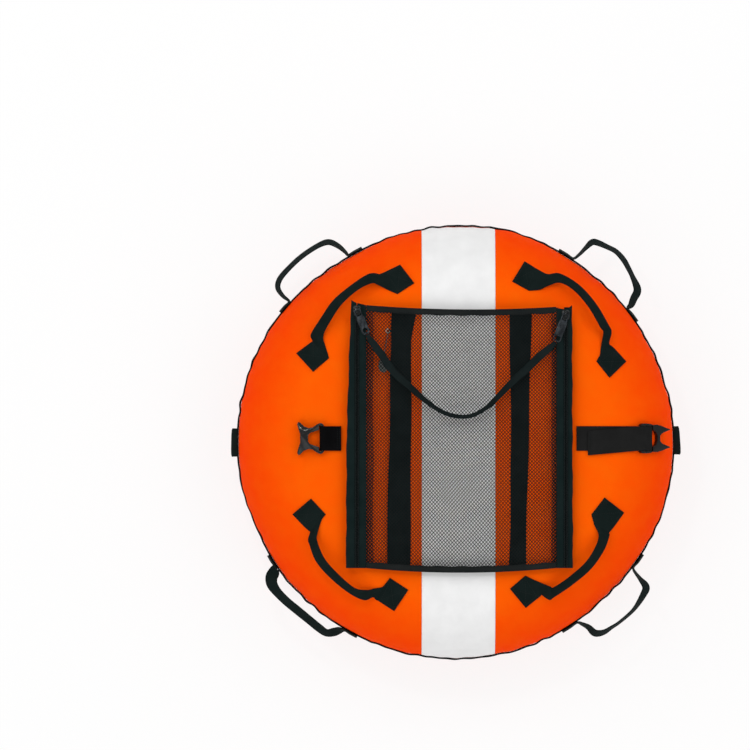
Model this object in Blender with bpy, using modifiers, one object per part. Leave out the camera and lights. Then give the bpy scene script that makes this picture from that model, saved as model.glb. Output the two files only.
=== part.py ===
"""A round inflatable training buoy: a ring bladder in a sewn cloth cover, with a zipped mesh pocket,
webbing handles, a side-release buckle and a line ring under its middle.

Metres, +Z up. The origin is under the middle of the buoy, on the surface it rests on. +Y runs from the
middle to the mouth of the pocket."""

import math

import bmesh
import bpy
from mathutils import Vector

# Clearances
CLEAR = 0.0003  # between neighbours with flat faces
SEAT = 0.0005  # between the curved cover and what is sewn onto it
RUNNING = 0.0005  # round a slider's moving parts

# Cover
COVER_RADIUS = 0.3945  # outer face at the rim seam
COVER_HEIGHT = 0.240
FLAT_RADIUS = 0.275  # inside this the top is flat
REST_INNER_RADIUS = 0.225  # the underside rests on the ring from here to the flat radius
DISH_RADIUS = 0.090  # flat middle of the underside
DISH_DEPTH = 0.026
COVER_CLOTH = 0.0012
PIPING_RADIUS = 0.0025
STRIPE_WIDTH = 0.135
STRIPE_OFFSET = 0.004
ROUND_SEGMENTS = 64
SIDE_STEPS = 6
DISH_STEPS = 4

# Bladder
BLADDER_SLACK = 0.0005  # between the bladder and the cover's inner face at the rim
BLADDER_HOLE_RADIUS = 0.131
BLADDER_HEADROOM = 0.0033  # between the bladder's crest and the cover above and below it
BLADDER_STEPS = 12
VALVE_FLANGE_RADIUS = 0.016
VALVE_NECK_RADIUS = 0.010
VALVE_NECK_LENGTH = 0.018
VALVE_FLANGE_THICKNESS = 0.0025
VALVE_BORE_RADIUS = 0.006
PLUG_LENGTH = 0.012
PLUG_HEAD_RADIUS = 0.0095
PLUG_HEAD_THICKNESS = 0.004

# Mesh pocket
POCKET_DEPTH = 0.014
POCKET_TOP_Y = 0.2480
POCKET_BOTTOM_Y = -0.2340
NET_THICKNESS = 0.0012
NET_COLUMNS = 8
NET_ROWS = 10
NET_STRAND_SHARE = 0.13  # how much of a mesh is strand, from a corner of its hole to the next
BINDING_WIDTH = 0.0115
BINDING_LEG = 0.0010
GUSSET_THICKNESS = 0.0012

# Pocket zips, as distances along X
LEFT_COIL_X = -0.182
RIGHT_COIL_X = 0.200
LEFT_OUTER_X = -0.201
RIGHT_OUTER_X = 0.212
INNER_TAPE_WIDTH = 0.016
TAPE_THICKNESS = 0.0010
ZIP_GROOVE = 0.0020
COIL_ROW_WIDTH = 0.0026
COIL_ROW_HEIGHT = 0.0022
ZIP_TOP_Y = 0.2515
ZIP_BOTTOM_Y = -0.2310
TAPE_PEAK = 0.0070  # how far the outer tape stands past the mouth

# Zip sliders
SLIDER_LENGTH = 0.019
SLIDER_WIDTH = 0.015
SLIDER_PLATE = 0.0018
SLIDER_LIP = 0.0013
SLIDER_WEB = 0.0010
BRIDGE_LENGTH = 0.012
BRIDGE_HEIGHT = 0.0048
BRIDGE_WIDTH = 0.0030
BRIDGE_STRAP = 0.0013
LEFT_SLIDER_Y = 0.2425
RIGHT_SLIDER_Y = 0.2345
PULL_THICKNESS = 0.0018
PULL_WIDTH = 0.0150
PULL_EYE_WIDTH = 0.0105
LEFT_PULL_LENGTH = 0.0470
RIGHT_PULL_LENGTH = 0.0520
LEFT_PULL_TURN = math.radians(22.6)
RIGHT_PULL_TURN = math.radians(-19.7)

# Pull cord, a hand-chosen route between the two pulls
CORD_DIAMETER = 0.0050
CORD_ROUTE = [
    (-0.1632, 0.1982, 0.2610),
    (-0.1565, 0.1880, 0.2607),
    (-0.1362, 0.1600, 0.2605),
    (-0.1141, 0.1290, 0.2605),
    (-0.0810, 0.0998, 0.2605),
    (-0.0534, 0.0755, 0.2605),
    (-0.0258, 0.0575, 0.2605),
    (0.0018, 0.0492, 0.2605),
    (0.0294, 0.0512, 0.2605),
    (0.0570, 0.0670, 0.2605),
    (0.0791, 0.0885, 0.2605),
    (0.1030, 0.1130, 0.2605),
    (0.1288, 0.1360, 0.2605),
    (0.1509, 0.1570, 0.2607),
    (0.1700, 0.1738, 0.2608),
    (0.1808, 0.1836, 0.2610),
]
CORD_SPACING = 0.012

# Access zip under the pocket and its flap
FLAP_LEFT_X = -0.1195
FLAP_RIGHT_X = -0.0800
FLAP_HEM = 0.0050
FLAP_RISE = 0.0040
FLAP_THICKNESS = 0.0010
BAND_LEFT_X = 0.0990
BAND_RIGHT_X = 0.1340
BAND_THICKNESS = 0.0014
BAND_TOP_Y = 0.2320
BAND_BOTTOM_Y = -0.2310
ACCESS_COIL_X = -0.1105
ACCESS_SLOT_WIDTH = 0.0124
ACCESS_TOP_Y = 0.2150
ACCESS_BOTTOM_Y = -0.2150
ACCESS_TAPE_WIDTH = 0.0130
ACCESS_TAPE_THICKNESS = 0.0008
ACCESS_COIL_WIDTH = 0.0020
ACCESS_COIL_HEIGHT = 0.0018
ACCESS_SLIDER_WIDTH = 0.0108
ACCESS_SLIDER_LENGTH = 0.0130
ACCESS_SLIDER_PLATE = 0.0012
ACCESS_SLIDER_LIP = 0.0009
ACCESS_SLIDER_Y = 0.2050
ACCESS_LUG_REACH = 0.0078  # past the slider's side
ACCESS_LUG_WIDTH = 0.0050
ACCESS_LUG_THICKNESS = 0.0010
LUG_ARCH_SPAN = 0.0036
LUG_ARCH_STRAP = 0.0008
PULL_RING_RADIUS = 0.0036
PULL_RING_WIRE = 0.0007
PULL_TAB_X = -0.1343
PULL_TAB_Y = 0.1426
PULL_TAB_LENGTH = 0.0280
PULL_TAB_WIDTH = 0.0165
PULL_TAB_THICKNESS = 0.0040
PULL_LOOP_WIRE = 0.0008

# Webbing
WEB_THICKNESS = 0.0020
SEWN_ROWS = 3  # rows of each sewn end
ACROSS_STEPS = 3
GRIP_RISE = 0.0260
RISE_STEEPNESS = 1.3  # the grip is at its full height over the middle, from 1 / this of the way up
LEVEL_STEEPNESS = 3.0  # and level across its width from 1 / this of the way up

# Top handles: outer and inner edge of each strap seen from above, from one sewn end to the other. The
# first two and the last two rows bound the sewn ends.
TOP_HANDLES = {
    "upper_left": [
        (-0.293, 0.164, -0.262, 0.130),
        (-0.262, 0.187, -0.233, 0.155),
        (-0.265, 0.192, -0.239, 0.176),
        (-0.267, 0.201, -0.242, 0.197),
        (-0.248, 0.231, -0.228, 0.225),
        (-0.226, 0.262, -0.208, 0.254),
        (-0.195, 0.288, -0.180, 0.279),
        (-0.168, 0.307, -0.154, 0.291),
        (-0.154, 0.312, -0.142, 0.287),
        (-0.141, 0.309, -0.127, 0.280),
        (-0.132, 0.312, -0.108, 0.272),
        (-0.103, 0.326, -0.077, 0.292),
    ],
    "upper_right": [
        (0.125, 0.332, 0.102, 0.295),
        (0.146, 0.319, 0.133, 0.278),
        (0.159, 0.313, 0.152, 0.279),
        (0.169, 0.310, 0.168, 0.286),
        (0.190, 0.311, 0.190, 0.292),
        (0.225, 0.290, 0.215, 0.278),
        (0.255, 0.257, 0.241, 0.248),
        (0.278, 0.219, 0.262, 0.212),
        (0.285, 0.203, 0.268, 0.203),
        (0.280, 0.183, 0.264, 0.176),
        (0.285, 0.177, 0.262, 0.160),
        (0.290, 0.172, 0.256, 0.149),
        (0.311, 0.149, 0.280, 0.119),
    ],
    "lower_left": [
        (-0.300, -0.131, -0.266, -0.102),
        (-0.279, -0.153, -0.239, -0.131),
        (-0.268, -0.163, -0.245, -0.138),
        (-0.272, -0.179, -0.253, -0.164),
        (-0.270, -0.186, -0.254, -0.179),
        (-0.258, -0.217, -0.241, -0.210),
        (-0.231, -0.248, -0.219, -0.236),
        (-0.196, -0.276, -0.187, -0.264),
        (-0.169, -0.289, -0.164, -0.268),
        (-0.154, -0.283, -0.151, -0.266),
        (-0.148, -0.287, -0.133, -0.262),
        (-0.143, -0.289, -0.122, -0.247),
        (-0.114, -0.308, -0.088, -0.269),
    ],
    "lower_right": [
        (0.307, -0.128, 0.271, -0.100),
        (0.289, -0.153, 0.247, -0.131),
        (0.280, -0.165, 0.251, -0.148),
        (0.281, -0.171, 0.259, -0.169),
        (0.271, -0.197, 0.253, -0.190),
        (0.247, -0.231, 0.235, -0.218),
        (0.213, -0.260, 0.202, -0.247),
        (0.180, -0.283, 0.176, -0.264),
        (0.170, -0.289, 0.171, -0.261),
        (0.157, -0.278, 0.141, -0.250),
        (0.152, -0.282, 0.126, -0.243),
        (0.127, -0.302, 0.098, -0.267),
    ],
}

# Rim handles: the angles of the two sewn feet, then points between them as an angle, the distance past the
# piping and how far the strap leans there. They run clockwise seen from above.
RIM_HANDLES = {
    "upper_left": (
        (143.5, 139.7),
        (120.0, 115.8),
        [
            (139.6, 0.0177, 14),
            (138.9, 0.0340, 20),
            (137.0, 0.0417, 22),
            (133.6, 0.0437, 20),
            (129.6, 0.0441, 20),
            (125.4, 0.0419, 20),
            (122.6, 0.0368, 24),
            (121.1, 0.0228, 20),
            (120.3, 0.0080, 12),
        ],
    ),
    "upper_right": (
        (61.9, 57.4),
        (38.1, 33.7),
        [
            (56.6, 0.0135, 10),
            (56.2, 0.0294, 15),
            (55.7, 0.0451, 25),
            (54.6, 0.0499, 25),
            (52.2, 0.0543, 20),
            (50.0, 0.0577, 20),
            (47.5, 0.0555, 22),
            (45.3, 0.0503, 20),
            (43.2, 0.0448, 20),
            (40.2, 0.0361, 30),
            (39.1, 0.0207, 22),
            (38.3, 0.0099, 12),
        ],
    ),
    "lower_left": (
        (243.0, 239.3),
        (214.6, 211.0),
        [
            (237.9, 0.0068, 18),
            (237.1, 0.0139, 25),
            (235.7, 0.0226, 32),
            (233.5, 0.0232, 36),
            (230.6, 0.0226, 36),
            (226.9, 0.0236, 38),
            (223.1, 0.0265, 38),
            (219.8, 0.0280, 42),
            (217.2, 0.0263, 50),
            (215.5, 0.0199, 50),
            (214.9, 0.0110, 25),
        ],
    ),
    "lower_right": (
        (-30.9, -35.5),
        (-56.0, -60.7),
        [
            (-36.6, 0.0206, 15),
            (-37.3, 0.0382, 32),
            (-39.0, 0.0433, 28),
            (-43.2, 0.0480, 15),
            (-47.6, 0.0463, 12),
            (-50.0, 0.0438, 14),
            (-52.1, 0.0416, 22),
            (-53.8, 0.0336, 30),
            (-54.2, 0.0195, 22),
            (-55.0, 0.0087, 14),
        ],
    ),
}
RIM_WEB_WIDTH = 0.0250

# Side loops
LOOP_WIDTH = 0.0520
LOOP_REACH = 0.0145  # past the piping

# Buckle
BUCKLE_Y = 0.0080
FEMALE_X = -0.2495  # middle of its shoulders
TAB_END_X = -0.2110
BUCKLE_WEB_WIDTH = 0.0450
BUCKLE_SLOT_WIDTH = 0.0470
FEMALE_BAR_START = -0.0075
FEMALE_BAR_END = -0.0015
FEMALE_BAR_THICKNESS = 0.0050
FEMALE_LIFT = 0.0065
FEMALE_THICKNESS = 0.0120
FEMALE_LENGTH = 0.0420
FEMALE_TIP_HALF_WIDTH = 0.0305
FEMALE_WAIST_HALF_WIDTH = 0.0190
FEMALE_SHOULDER_HALF_WIDTH = 0.0285
FEMALE_MOUTH_HEIGHT = 0.0062
FEMALE_MOUTH_HALF_WIDTH = 0.0160
MALE_THICKNESS = 0.0080
MALE_LENGTH = 0.0700
MALE_BASE_HALF_WIDTH = 0.0275
MALE_TIP_HALF_WIDTH = 0.0163
MALE_START_X = COVER_RADIUS - 0.0600
MALE_TILT = math.radians(38.0)
MALE_LIFT = 0.0072
MALE_BAR_THICKNESS = 0.0042
MALE_BAR_END = 0.0262
STRAP_START_X = 0.2240
STRAP_END_X = 0.2440
STRAP_LEAVES_X = MALE_START_X - 0.0195  # where the strap leaves the cover for the buckle
STRAP_SWING = 0.0055  # how far the free end lies to one side

# Underside
BOTTOM_STRAP_HALF_LENGTH = 0.1850
BOTTOM_STRAP_WIDTH = 0.0380
BOTTOM_STRAP_THICKNESS = 0.0018
KEEPER_WIDTH = 0.0240
KEEPER_LEG = 0.0190
KEEPER_THICKNESS = 0.0016
RING_WIRE_RADIUS = 0.0025
RING_HALF_WIDTH = 0.0190
RING_REACH = 0.0300

SEAM_HEIGHT = COVER_HEIGHT / 2
POCKET_FLOOR = COVER_HEIGHT + POCKET_DEPTH  # lower face of the zip tapes and of the net
TAPE_TOP = POCKET_FLOOR + TAPE_THICKNESS
COIL_TOP = TAPE_TOP + CLEAR + COIL_ROW_HEIGHT
SLIDER_TOP = COIL_TOP + RUNNING + SLIDER_PLATE
PIPING_OUTER = COVER_RADIUS + CLEAR + 2 * PIPING_RADIUS

for leftover in list(bpy.data.objects):
    bpy.data.objects.remove(leftover, do_unlink=True)

parts = bpy.data.collections.new("training_buoy")
cutters = bpy.data.collections.new("cutters")
bpy.context.scene.collection.children.link(parts)
bpy.context.scene.collection.children.link(cutters)


# Materials


def material(name, colour, roughness, metallic=0.0):
    made = bpy.data.materials.new(name)
    made.use_nodes = True
    shader = made.node_tree.nodes["Principled BSDF"]
    shader.inputs["Base Color"].default_value = (*colour, 1.0)
    shader.inputs["Roughness"].default_value = roughness
    shader.inputs["Metallic"].default_value = metallic
    return made


ORANGE_CLOTH = material("orange_cloth", (1.0, 0.11, 0.003), 0.55)
WHITE_CLOTH = material("white_cloth", (0.82, 0.82, 0.82), 0.55)
BLADDER_FILM = material("bladder_film", (0.75, 0.76, 0.74), 0.35)
BLACK_TRIM = material("black_trim", (0.012, 0.018, 0.018), 0.75)
BLACK_WEBBING = material("black_webbing", (0.012, 0.014, 0.015), 0.8)
BLACK_PLASTIC = material("black_plastic", (0.012, 0.013, 0.014), 0.25)
SLIDER_METAL = material("slider_metal", (0.10, 0.11, 0.12), 0.35, 1.0)
RING_STEEL = material("ring_steel", (0.62, 0.62, 0.62), 0.22, 1.0)
GREY_RUBBER = material("grey_rubber", (0.06, 0.07, 0.07), 0.6)


# Shapes of the cover


def ellipse_height(reach):
    """Half height of the cover's side at a distance past its flat middle."""
    share = min(1.0, max(0.0, reach / (COVER_RADIUS - FLAT_RADIUS)))
    return SEAM_HEIGHT * math.sqrt(1 - share * share)


def top_height(x, y):
    return SEAM_HEIGHT + ellipse_height(math.hypot(x, y) - FLAT_RADIUS)


def dish_height(radius):
    share = (REST_INNER_RADIUS - radius) / (REST_INNER_RADIUS - DISH_RADIUS)
    share = min(1.0, max(0.0, share))
    return DISH_DEPTH * (1 - math.cos(math.pi * share)) / 2


def side_profile(steps):
    """The quarter ellipse from the edge of the flat top to just above the rim seam."""
    half_height = SEAM_HEIGHT
    width = COVER_RADIUS - FLAT_RADIUS
    last = math.asin(CLEAR / half_height)
    angles = [math.pi / 2 + (last - math.pi / 2) * step / steps for step in range(steps + 1)]
    return [(FLAT_RADIUS + width * math.cos(a), half_height * math.sin(a)) for a in angles]


# Building tools


def place(obj, surface, smooth_angle=35.0):
    parts.objects.link(obj)
    obj.data.materials.append(surface)
    obj.data.shade_smooth()
    obj.data.set_sharp_from_angle(angle=math.radians(smooth_angle))
    return obj


def remove_object(obj):
    data = obj.data
    bpy.data.objects.remove(obj, do_unlink=True)
    if isinstance(data, bpy.types.Curve):
        bpy.data.curves.remove(data)


def evaluated_mesh(obj):
    """The mesh of an object with its modifiers, welded and facing out."""
    bpy.context.scene.collection.objects.link(obj)
    bpy.context.view_layer.update()
    graph = bpy.context.evaluated_depsgraph_get()
    mesh = bpy.data.meshes.new_from_object(obj.evaluated_get(graph))
    work = bmesh.new()
    work.from_mesh(mesh)
    bmesh.ops.remove_doubles(work, verts=work.verts, dist=0.00001)
    work.to_mesh(mesh)
    work.free()
    return mesh


def mesh_from_curve(name, curve):
    obj = bpy.data.objects.new(name + "_curve", curve)
    mesh = evaluated_mesh(obj)
    mesh.name = name
    remove_object(obj)
    return mesh


def turned_mesh(name, profile, closed=False, segments=ROUND_SEGMENTS):
    """A profile of radius and height, turned about Z. It runs down its outer side."""
    mesh = bpy.data.meshes.new(name)
    edges = [(i, i + 1) for i in range(len(profile) - 1)]
    if closed:
        edges.append((len(profile) - 1, 0))
    mesh.from_pydata([(radius, 0.0, height) for radius, height in profile], edges, [])
    obj = bpy.data.objects.new(name + "_profile", mesh)
    screw = obj.modifiers.new("turn", "SCREW")
    screw.steps = segments
    screw.render_steps = segments
    screw.use_merge_vertices = True
    screw.merge_threshold = 0.00005
    turned = evaluated_mesh(obj)
    turned.name = name
    bpy.data.objects.remove(obj, do_unlink=True)
    return turned


def thicken(obj, thickness, offset):
    shell = obj.modifiers.new("cloth", "SOLIDIFY")
    shell.thickness = thickness
    shell.offset = offset
    return obj


def half_space(mesh, x, keep_right):
    """Cuts a mesh at a plane of constant X and keeps one side of it."""
    work = bmesh.new()
    work.from_mesh(mesh)
    bmesh.ops.bisect_plane(
        work,
        geom=work.verts[:] + work.edges[:] + work.faces[:],
        plane_co=(x, 0, 0),
        plane_no=(1, 0, 0),
        clear_inner=keep_right,
        clear_outer=not keep_right,
    )
    work.to_mesh(mesh)
    work.free()


def box_mesh(name, low, high):
    low, high = Vector(low), Vector(high)
    mesh = bpy.data.meshes.new(name)
    work = bmesh.new()
    bmesh.ops.create_cube(work, size=1.0)
    bmesh.ops.scale(work, vec=high - low, verts=work.verts)
    bmesh.ops.translate(work, vec=(low + high) / 2, verts=work.verts)
    work.to_mesh(mesh)
    work.free()
    return mesh


def box(name, low, high, surface):
    return place(bpy.data.objects.new(name, box_mesh(name, low, high)), surface)


def cut(target, name, mesh, operation="DIFFERENCE", parent=None):
    cutter = bpy.data.objects.new(name, mesh)
    cutters.objects.link(cutter)
    cutter.hide_render = True
    cutter.display_type = "WIRE"
    cutter.parent = parent
    boolean = target.modifiers.new(name, "BOOLEAN")
    boolean.object = cutter
    boolean.operation = operation
    boolean.solver = "EXACT"
    return cutter


def plate_mesh(name, outlines, thickness, smooth=False, resolution=4):
    """Flat outlines, the first with the others as its holes, thickened about their plane."""
    curve = bpy.data.curves.new(name, "CURVE")
    curve.dimensions = "2D"
    curve.fill_mode = "BOTH"
    curve.extrude = thickness / 2
    curve.resolution_u = resolution
    for outline in outlines:
        if smooth:
            spline = curve.splines.new("BEZIER")
            spline.bezier_points.add(len(outline) - 1)
            for point, (x, y) in zip(spline.bezier_points, outline):
                point.co = (x, y, 0)
                point.handle_left_type = "AUTO"
                point.handle_right_type = "AUTO"
        else:
            spline = curve.splines.new("POLY")
            spline.points.add(len(outline) - 1)
            for point, (x, y) in zip(spline.points, outline):
                point.co = (x, y, 0, 1)
        spline.use_cyclic_u = True
    return mesh_from_curve(name, curve)


def extruded_mesh(name, outline, axis, start, end):
    """An outline in the plane square to an axis, drawn out from start to end along it."""
    mesh = plate_mesh(name, [outline], end - start)
    middle = (start + end) / 2
    for vertex in mesh.vertices:
        u, v, w = vertex.co
        vertex.co = (w + middle, u, v) if axis == "X" else (u, middle - w, v)
    return mesh


def strap_mesh(name, rows):
    """A strip of faces over rows of points, each row across the strap."""
    count = len(rows[0])
    points = [point for row in rows for point in row]
    faces = []
    for i in range(len(rows) - 1):
        for j in range(count - 1):
            first = i * count + j
            faces.append((first, first + count, first + count + 1, first + 1))
    mesh = bpy.data.meshes.new(name)
    mesh.from_pydata(points, [], faces)
    return mesh


def strap(name, rows, thickness, surface, offset=1.0):
    obj = place(bpy.data.objects.new(name, strap_mesh(name, rows)), surface)
    return thicken(obj, thickness, offset)


def tube_mesh(name, points, radius, cyclic=False, resolution=2):
    curve = bpy.data.curves.new(name, "CURVE")
    curve.dimensions = "3D"
    curve.bevel_depth = radius
    curve.bevel_resolution = resolution
    curve.use_fill_caps = not cyclic
    spline = curve.splines.new("POLY")
    spline.points.add(len(points) - 1)
    for point, co in zip(spline.points, points):
        point.co = (*co, 1)
    spline.use_cyclic_u = cyclic
    return mesh_from_curve(name, curve)


def smooth_route(route, spacing):
    """Points at an even spacing along a smooth curve through a route's own points."""
    knots = [Vector(point) for point in route]
    knots = [2 * knots[0] - knots[1]] + knots + [2 * knots[-1] - knots[-2]]
    fine = []
    for a, b, c, d in zip(knots, knots[1:], knots[2:], knots[3:]):
        for step in range(24):
            t = step / 24
            fine.append(
                b
                + (c - a) * (t / 2)
                + (2 * a - 5 * b + 4 * c - d) * (t * t / 2)
                + (3 * b - a - 3 * c + d) * (t * t * t / 2)
            )
    fine.append(knots[-2])
    lengths = [0.0]
    for a, b in zip(fine, fine[1:]):
        lengths.append(lengths[-1] + (b - a).length)
    count = max(2, round(lengths[-1] / spacing))
    points, at = [], 0
    for k in range(count + 1):
        wanted = lengths[-1] * k / count
        while at < len(fine) - 2 and lengths[at + 1] < wanted:
            at += 1
        share = (wanted - lengths[at]) / (lengths[at + 1] - lengths[at])
        points.append(fine[at].lerp(fine[at + 1], min(1.0, share)))
    return points


def polar(radius, degrees):
    return Vector((radius * math.cos(math.radians(degrees)), radius * math.sin(math.radians(degrees))))


def smoothstep(value):
    value = min(1.0, max(0.0, value))
    return value * value * (3 - 2 * value)


# Bladder and its valve


def bladder():
    """Its crest is at the edge of the cover's flat top. Outside that it fills the cover's side."""
    to_rim = COVER_RADIUS - COVER_CLOTH - BLADDER_SLACK - FLAT_RADIUS
    to_hole = FLAT_RADIUS - BLADDER_HOLE_RADIUS
    half_height = SEAM_HEIGHT - COVER_CLOTH - BLADDER_HEADROOM
    profile = []
    for step in range(BLADDER_STEPS):
        angle = math.pi / 2 - 2 * math.pi * step / BLADDER_STEPS
        width = to_rim if math.cos(angle) > 0 else to_hole
        profile.append((FLAT_RADIUS + width * math.cos(angle), SEAM_HEIGHT + half_height * math.sin(angle)))
    place(bpy.data.objects.new("bladder", turned_mesh("bladder", profile, closed=True)), BLADDER_FILM)


def valve():
    """The flange lies on the wall of the bladder's hole, and the neck points to the buoy's middle."""
    sag = BLADDER_HOLE_RADIUS - math.sqrt(BLADDER_HOLE_RADIUS**2 - VALVE_FLANGE_RADIUS**2)
    seat_x = -(BLADDER_HOLE_RADIUS - sag - CLEAR)
    neck_end = VALVE_FLANGE_THICKNESS + VALVE_NECK_LENGTH
    body_profile = [
        (VALVE_BORE_RADIUS, neck_end),
        (VALVE_NECK_RADIUS, neck_end),
        (VALVE_NECK_RADIUS, VALVE_FLANGE_THICKNESS),
        (VALVE_FLANGE_RADIUS, VALVE_FLANGE_THICKNESS),
        (VALVE_FLANGE_RADIUS, 0.0),
        (0.0, 0.0),
        (0.0, VALVE_FLANGE_THICKNESS),
        (VALVE_BORE_RADIUS, VALVE_FLANGE_THICKNESS),
    ]
    body = turned_mesh("valve_body", body_profile + [body_profile[0]], segments=24)
    plug_radius = VALVE_BORE_RADIUS - CLEAR
    plug_profile = [
        (0.0, neck_end + CLEAR + PLUG_HEAD_THICKNESS),
        (PLUG_HEAD_RADIUS, neck_end + CLEAR + PLUG_HEAD_THICKNESS),
        (PLUG_HEAD_RADIUS, neck_end + CLEAR),
        (plug_radius, neck_end + CLEAR),
        (plug_radius, neck_end - PLUG_LENGTH),
        (0.0, neck_end - PLUG_LENGTH),
    ]
    plug = turned_mesh("valve_plug", plug_profile, segments=24)
    for name, mesh, surface in (
        ("valve_body", body, BLADDER_FILM),
        ("valve_plug", plug, BLACK_PLASTIC),
    ):
        obj = place(bpy.data.objects.new(name, mesh), surface)
        obj.location = (seat_x, 0.0, SEAM_HEIGHT)
        obj.rotation_euler = (0.0, math.pi / 2, 0.0)


# Cover


def cover():
    top_profile = [(0.0, COVER_HEIGHT)]
    top_profile += [(radius, SEAM_HEIGHT + rise) for radius, rise in side_profile(SIDE_STEPS)]
    stripe_left = STRIPE_OFFSET - STRIPE_WIDTH / 2
    stripe_right = STRIPE_OFFSET + STRIPE_WIDTH / 2
    panels = {
        "cover_top_left": ([(stripe_left - CLEAR / 2, False)], ORANGE_CLOTH),
        "cover_stripe": ([(stripe_left + CLEAR / 2, True), (stripe_right - CLEAR / 2, False)], WHITE_CLOTH),
        "cover_top_right": ([(stripe_right + CLEAR / 2, True)], ORANGE_CLOTH),
    }
    made = {}
    for name, (planes, surface) in panels.items():
        mesh = turned_mesh(name, top_profile)
        for x, keep_right in planes:
            half_space(mesh, x, keep_right)
        made[name] = thicken(place(bpy.data.objects.new(name, mesh), surface), COVER_CLOTH, -1.0)
    slot = box_mesh(
        "access_slot",
        (ACCESS_COIL_X - ACCESS_SLOT_WIDTH / 2, ACCESS_BOTTOM_Y, COVER_HEIGHT - 0.01),
        (ACCESS_COIL_X + ACCESS_SLOT_WIDTH / 2, ACCESS_TOP_Y, COVER_HEIGHT + 0.01),
    )
    cut(made["cover_top_left"], "access_slot", slot)

    bottom_profile = [(radius, SEAM_HEIGHT - rise) for radius, rise in reversed(side_profile(SIDE_STEPS))]
    bottom_profile.append((REST_INNER_RADIUS, 0.0))
    for step in range(1, DISH_STEPS + 1):
        radius = REST_INNER_RADIUS + (DISH_RADIUS - REST_INNER_RADIUS) * step / DISH_STEPS
        bottom_profile.append((radius, dish_height(radius)))
    bottom_profile.append((0.0, DISH_DEPTH))
    bottom = bpy.data.objects.new("cover_bottom", turned_mesh("cover_bottom", bottom_profile))
    thicken(place(bottom, ORANGE_CLOTH), COVER_CLOTH, -1.0)


def rim_piping():
    bpy.ops.mesh.primitive_torus_add(
        major_radius=COVER_RADIUS + CLEAR + PIPING_RADIUS,
        minor_radius=PIPING_RADIUS,
        major_segments=ROUND_SEGMENTS,
        minor_segments=6,
        location=(0, 0, SEAM_HEIGHT),
    )
    obj = bpy.context.object
    obj.name = "rim_piping"
    for collection in list(obj.users_collection):
        collection.objects.unlink(obj)
    place(obj, BLACK_TRIM)


# Mesh pocket


def net():
    """A wall of diamond holes. Each mesh is a square of four corners round a diamond of four more."""
    left = LEFT_COIL_X + ZIP_GROOVE / 2 + INNER_TAPE_WIDTH + CLEAR
    right = RIGHT_COIL_X - ZIP_GROOVE / 2 - INNER_TAPE_WIDTH - CLEAR
    bottom = POCKET_BOTTOM_Y + BINDING_LEG + CLEAR
    top = POCKET_TOP_Y - BINDING_LEG - CLEAR
    width = (right - left) / NET_COLUMNS
    height = (top - bottom) / NET_ROWS
    points, faces, index = [], [], {}

    def vertex(x, y):
        key = (round(x, 6), round(y, 6))
        if key not in index:
            index[key] = len(points)
            points.append((x, y, POCKET_FLOOR))
        return index[key]

    reach = 0.5 - NET_STRAND_SHARE / 2
    for row in range(NET_ROWS):
        for column in range(NET_COLUMNS):
            x0, y0 = left + column * width, bottom + row * height
            corners = [(x0, y0), (x0 + width, y0), (x0 + width, y0 + height), (x0, y0 + height)]
            xm, ym = x0 + width / 2, y0 + height / 2
            diamond = [
                (xm, ym - reach * height),
                (xm + reach * width, ym),
                (xm, ym + reach * height),
                (xm - reach * width, ym),
            ]
            corner_ids = [vertex(*co) for co in corners]
            diamond_ids = [vertex(*co) for co in diamond]
            for k in range(4):
                faces.append((corner_ids[k], corner_ids[(k + 1) % 4], diamond_ids[k]))
                faces.append((corner_ids[(k + 1) % 4], diamond_ids[(k + 1) % 4], diamond_ids[k]))
    mesh = bpy.data.meshes.new("pocket_mesh")
    mesh.from_pydata(points, [], faces)
    thicken(place(bpy.data.objects.new("pocket_mesh", mesh), BLACK_TRIM), NET_THICKNESS, 1.0)


def bindings():
    """A folded tape round the net's edge at the mouth, and another at its lower end."""
    left = LEFT_COIL_X + ZIP_GROOVE / 2 + INNER_TAPE_WIDTH + CLEAR
    right = RIGHT_COIL_X - ZIP_GROOVE / 2 - INNER_TAPE_WIDTH - CLEAR
    slot_low = POCKET_FLOOR - CLEAR
    slot_high = POCKET_FLOOR + NET_THICKNESS + CLEAR
    for name, fold_y, inward in (
        ("pocket_top_binding", POCKET_TOP_Y, -1),
        ("pocket_bottom_binding", POCKET_BOTTOM_Y, 1),
    ):
        edge_y = fold_y + inward * BINDING_WIDTH
        slot_y = fold_y + inward * BINDING_LEG
        outline = [
            (edge_y, slot_low - BINDING_LEG),
            (fold_y, slot_low - BINDING_LEG),
            (fold_y, slot_high + BINDING_LEG),
            (edge_y, slot_high + BINDING_LEG),
            (edge_y, slot_high),
            (slot_y, slot_high),
            (slot_y, slot_low),
            (edge_y, slot_low),
        ]
        mesh = extruded_mesh(name, outline, "X", left, right)
        place(bpy.data.objects.new(name, mesh), BLACK_TRIM)


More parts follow.
